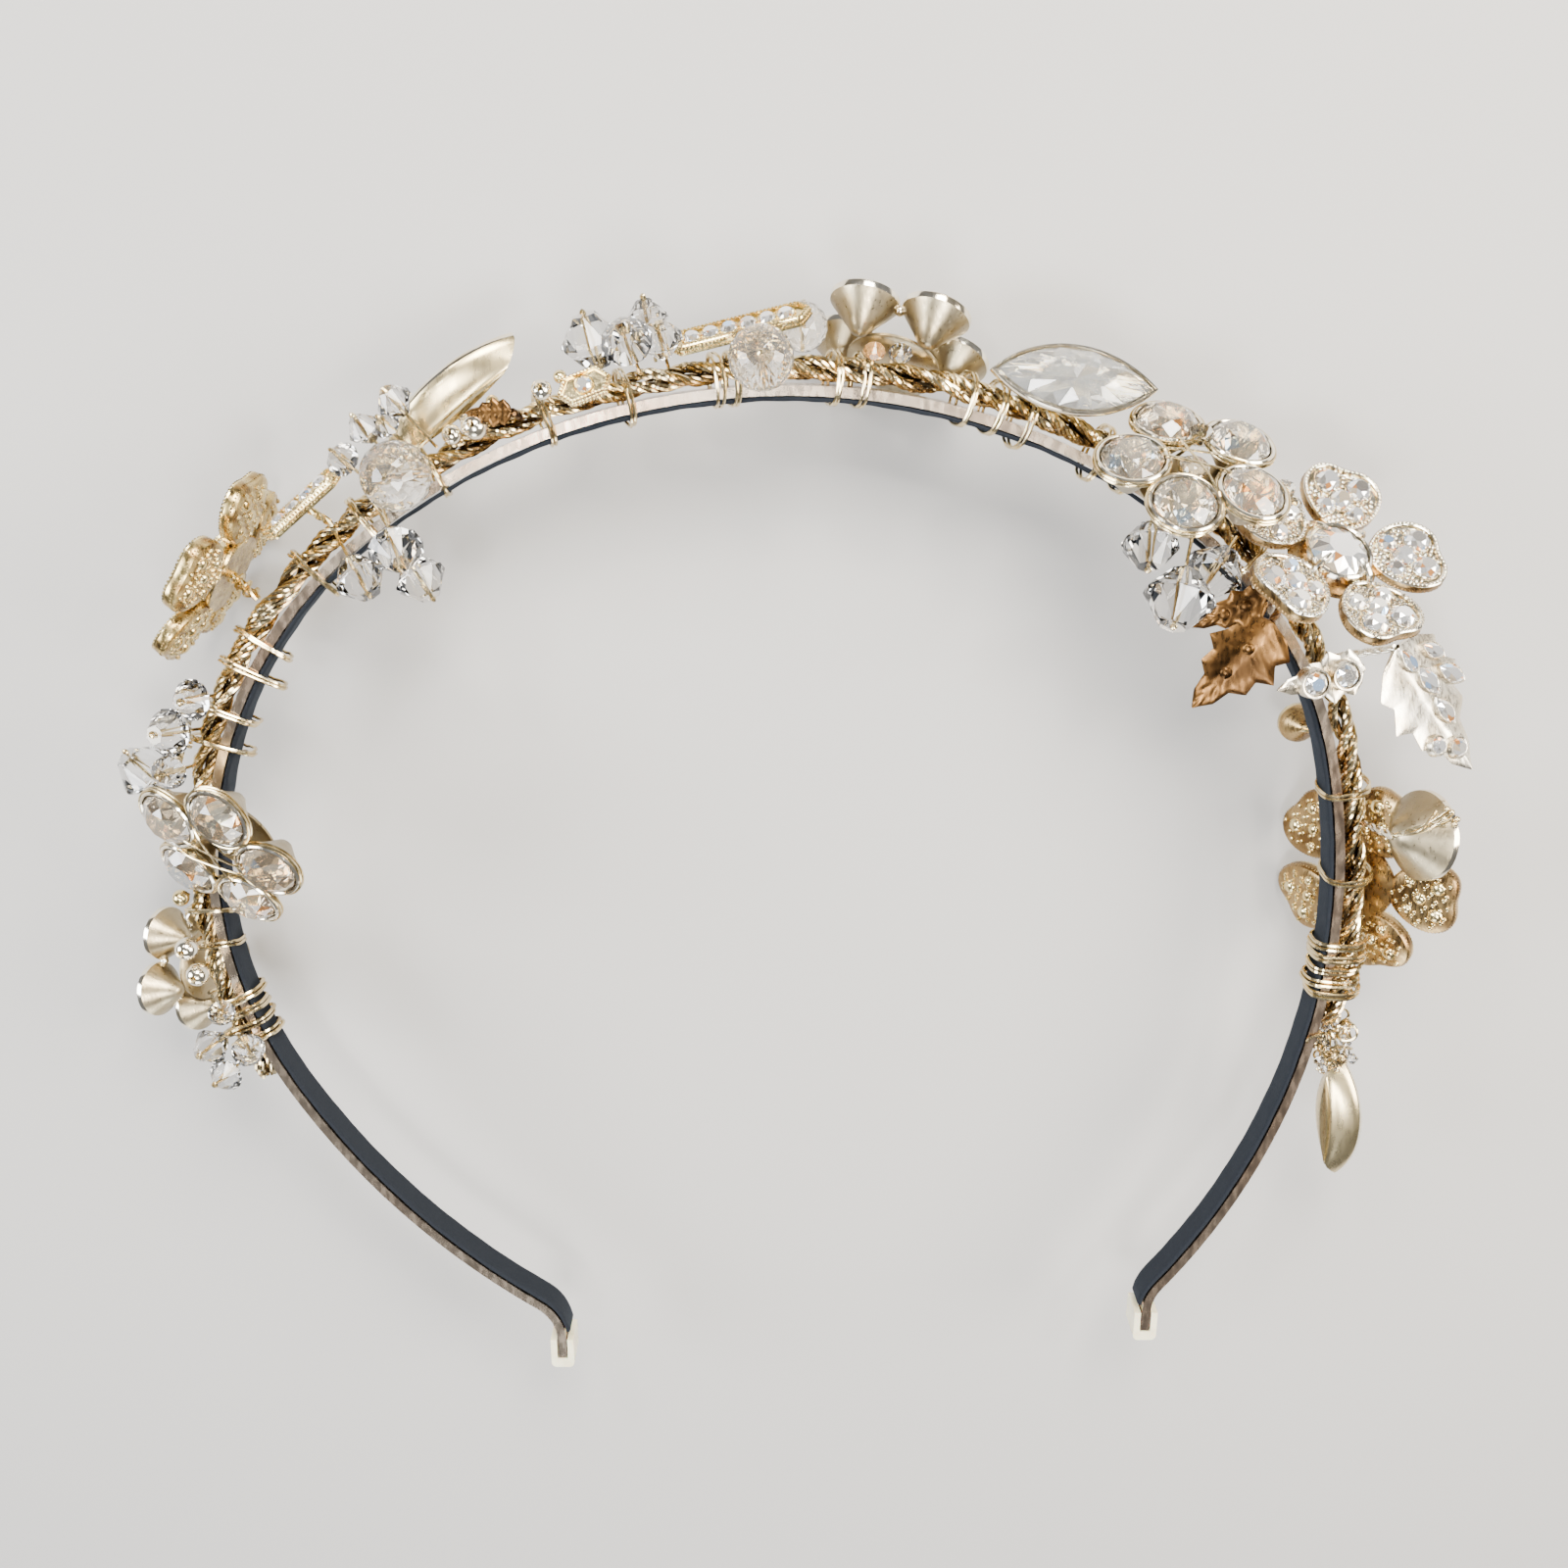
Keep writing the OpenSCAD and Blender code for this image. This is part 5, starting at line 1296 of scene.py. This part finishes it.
stems = new_heap()
for share, drift, reach, rise, radius in sum(BEADS.values(), []):
    root, middle, way = bead_line(reach, rise, drift)
    tip = middle + way * (radius * 0.86)
    across = way.orthogonal().normalized()
    path = [root + (tip - root) * k / 4 for k in range(5)]
    path += [tip + way * 0.35 * (1 - math.cos(a)) + across * 0.3 * math.sin(a)
        for a in (0.8, 1.6, 2.4, 3.2, 4.0, 4.8)]
    add_tube(stems, [on_vine(share) @ point for point in path], BEAD_WIRE_R)
settle(stems, "bead_stems", [PALE_WIRE], "pale_gold_metal", ["bead_wires"])

# The end loops
# Past the right coil the last wires are curled into loose loops with small clear beads between
# them, down to the wires that the last navette hangs from.
LOOP_WIRE_R, LOOPS, LOOP_STEPS, LOOP_BEADS = 0.19, 40, 20, 12
loops, loop_beads = new_heap(), new_heap()
for k in range(LOOPS):
    t = (k + 0.5) / LOOPS
    spread = 3.1 - 2.0 * t
    middle = hang_from.lerp(hang_to, t * 0.95 - 0.2) + Vector((dice.uniform(-spread, spread),
        dice.uniform(-0.8, 0.8), dice.uniform(-spread * 0.7, spread)))
    tilt = shift(*middle) @ turn("X", dice.uniform(0, 180)) @ turn("Y", dice.uniform(0, 180))
    long, wide = dice.uniform(1.0, 1.9), dice.uniform(0.7, 1.3)
    path = [tilt @ Vector((long * math.cos(a), wide * math.sin(a), 0.25 * math.sin(2 * a)))
        for a in (2 * math.pi * i / LOOP_STEPS for i in range(LOOP_STEPS))]
    add_tube(loops, path, LOOP_WIRE_R, closed=True)
for k in range(LOOP_BEADS):
    t = (k + 0.5) / LOOP_BEADS
    middle = hang_from.lerp(hang_to, t * 0.85 - 0.1) + Vector((dice.uniform(-2.4, 2.4),
        dice.uniform(-0.6, 0.6), dice.uniform(0.4, 2.6)))
    tilt = shift(*middle) @ turn("X", dice.uniform(0, 180))
    add_bicone(loop_beads, tilt, dice.uniform(0.7, 1.05), dice)
settle(loops, "end_loops", [PALE_WIRE], "pale_gold_metal")
settle(loop_beads, "end_loop_beads", [CLEAR_CRYSTAL], "crystal", smooth=0)

# The small findings
# Loose small parts that fill the gaps between the ornaments: tiny beads and balls on short wires, a
# browned leaf bit beside the first navette and an amber stone beside the crest cups.
BALL, BEAD, AMBER = 0, 1, 2
FINDINGS = [(-0.141, 2.4, 5, 0.85, BALL), (-0.129, 3.2, 5, 0.8, BALL), (-0.12, 0.6, 5, 0.85, BALL),
    (-0.558, 1.6, 3, 1.1, BALL), (0.315, 7.4, 5, 1.3, BEAD), (0.325, 6.8, 5, 1.1, BEAD),
    (0.251, 6.2, 8, 1.6, BEAD), (-0.17, 3.2, 4.4, 0.8, BALL), (0.051, 2.6, 5, 1.3, AMBER),
    (0.067, 2.8, 4.4, 1.4, BEAD)]
LEAF_BIT, BIT_LONG, BIT_WIDE = (-0.161, 1.2, 5.2, 0, 78, 160), 5.6, 3.4
AMBER_GLASS = cut_glass("amber_glass", 0.8, 0.0, 0.02, (0.92, 0.55, 0.22), 0.0, 0.5)

findings = [new_heap(), new_heap(), new_heap()]
for share, reach, rise, radius, sort in FINDINGS:
    spot = Vector((0, reach, rise))
    base = on_vine(share)
    if sort == BALL:
        add_ball(findings[BALL], base, spot, radius, 16)
    else:
        add_bicone(findings[sort], base @ shift(*spot) @ turn("X", 30), radius, dice)
    root = stem_root(spot)
    add_tube(findings[BALL], [base @ root, base @ ((root + spot) / 2 + Vector((0.2, 0, 0))),
        base @ spot], BEAD_WIRE_R)
settle(findings[BALL], "small_balls", [PALE_GOLD], "pale_gold_metal")
settle(findings[BEAD], "small_beads", [CLEAR_CRYSTAL], "crystal", smooth=0)
settle(findings[AMBER], "amber_stone", [AMBER_GLASS], "crystal", smooth=0)

leaf_bit = new_heap()
add_leaf(leaf_bit, seat(LEAF_BIT), BIT_LONG, BIT_WIDE, LEAF_FOLD, vein_rise=0.06)
add_stem(leaf_bit, LEAF_BIT)
settle(leaf_bit, "leaf_bit", [LEAF_BROWN], "brown_gold_metal", smooth=60)
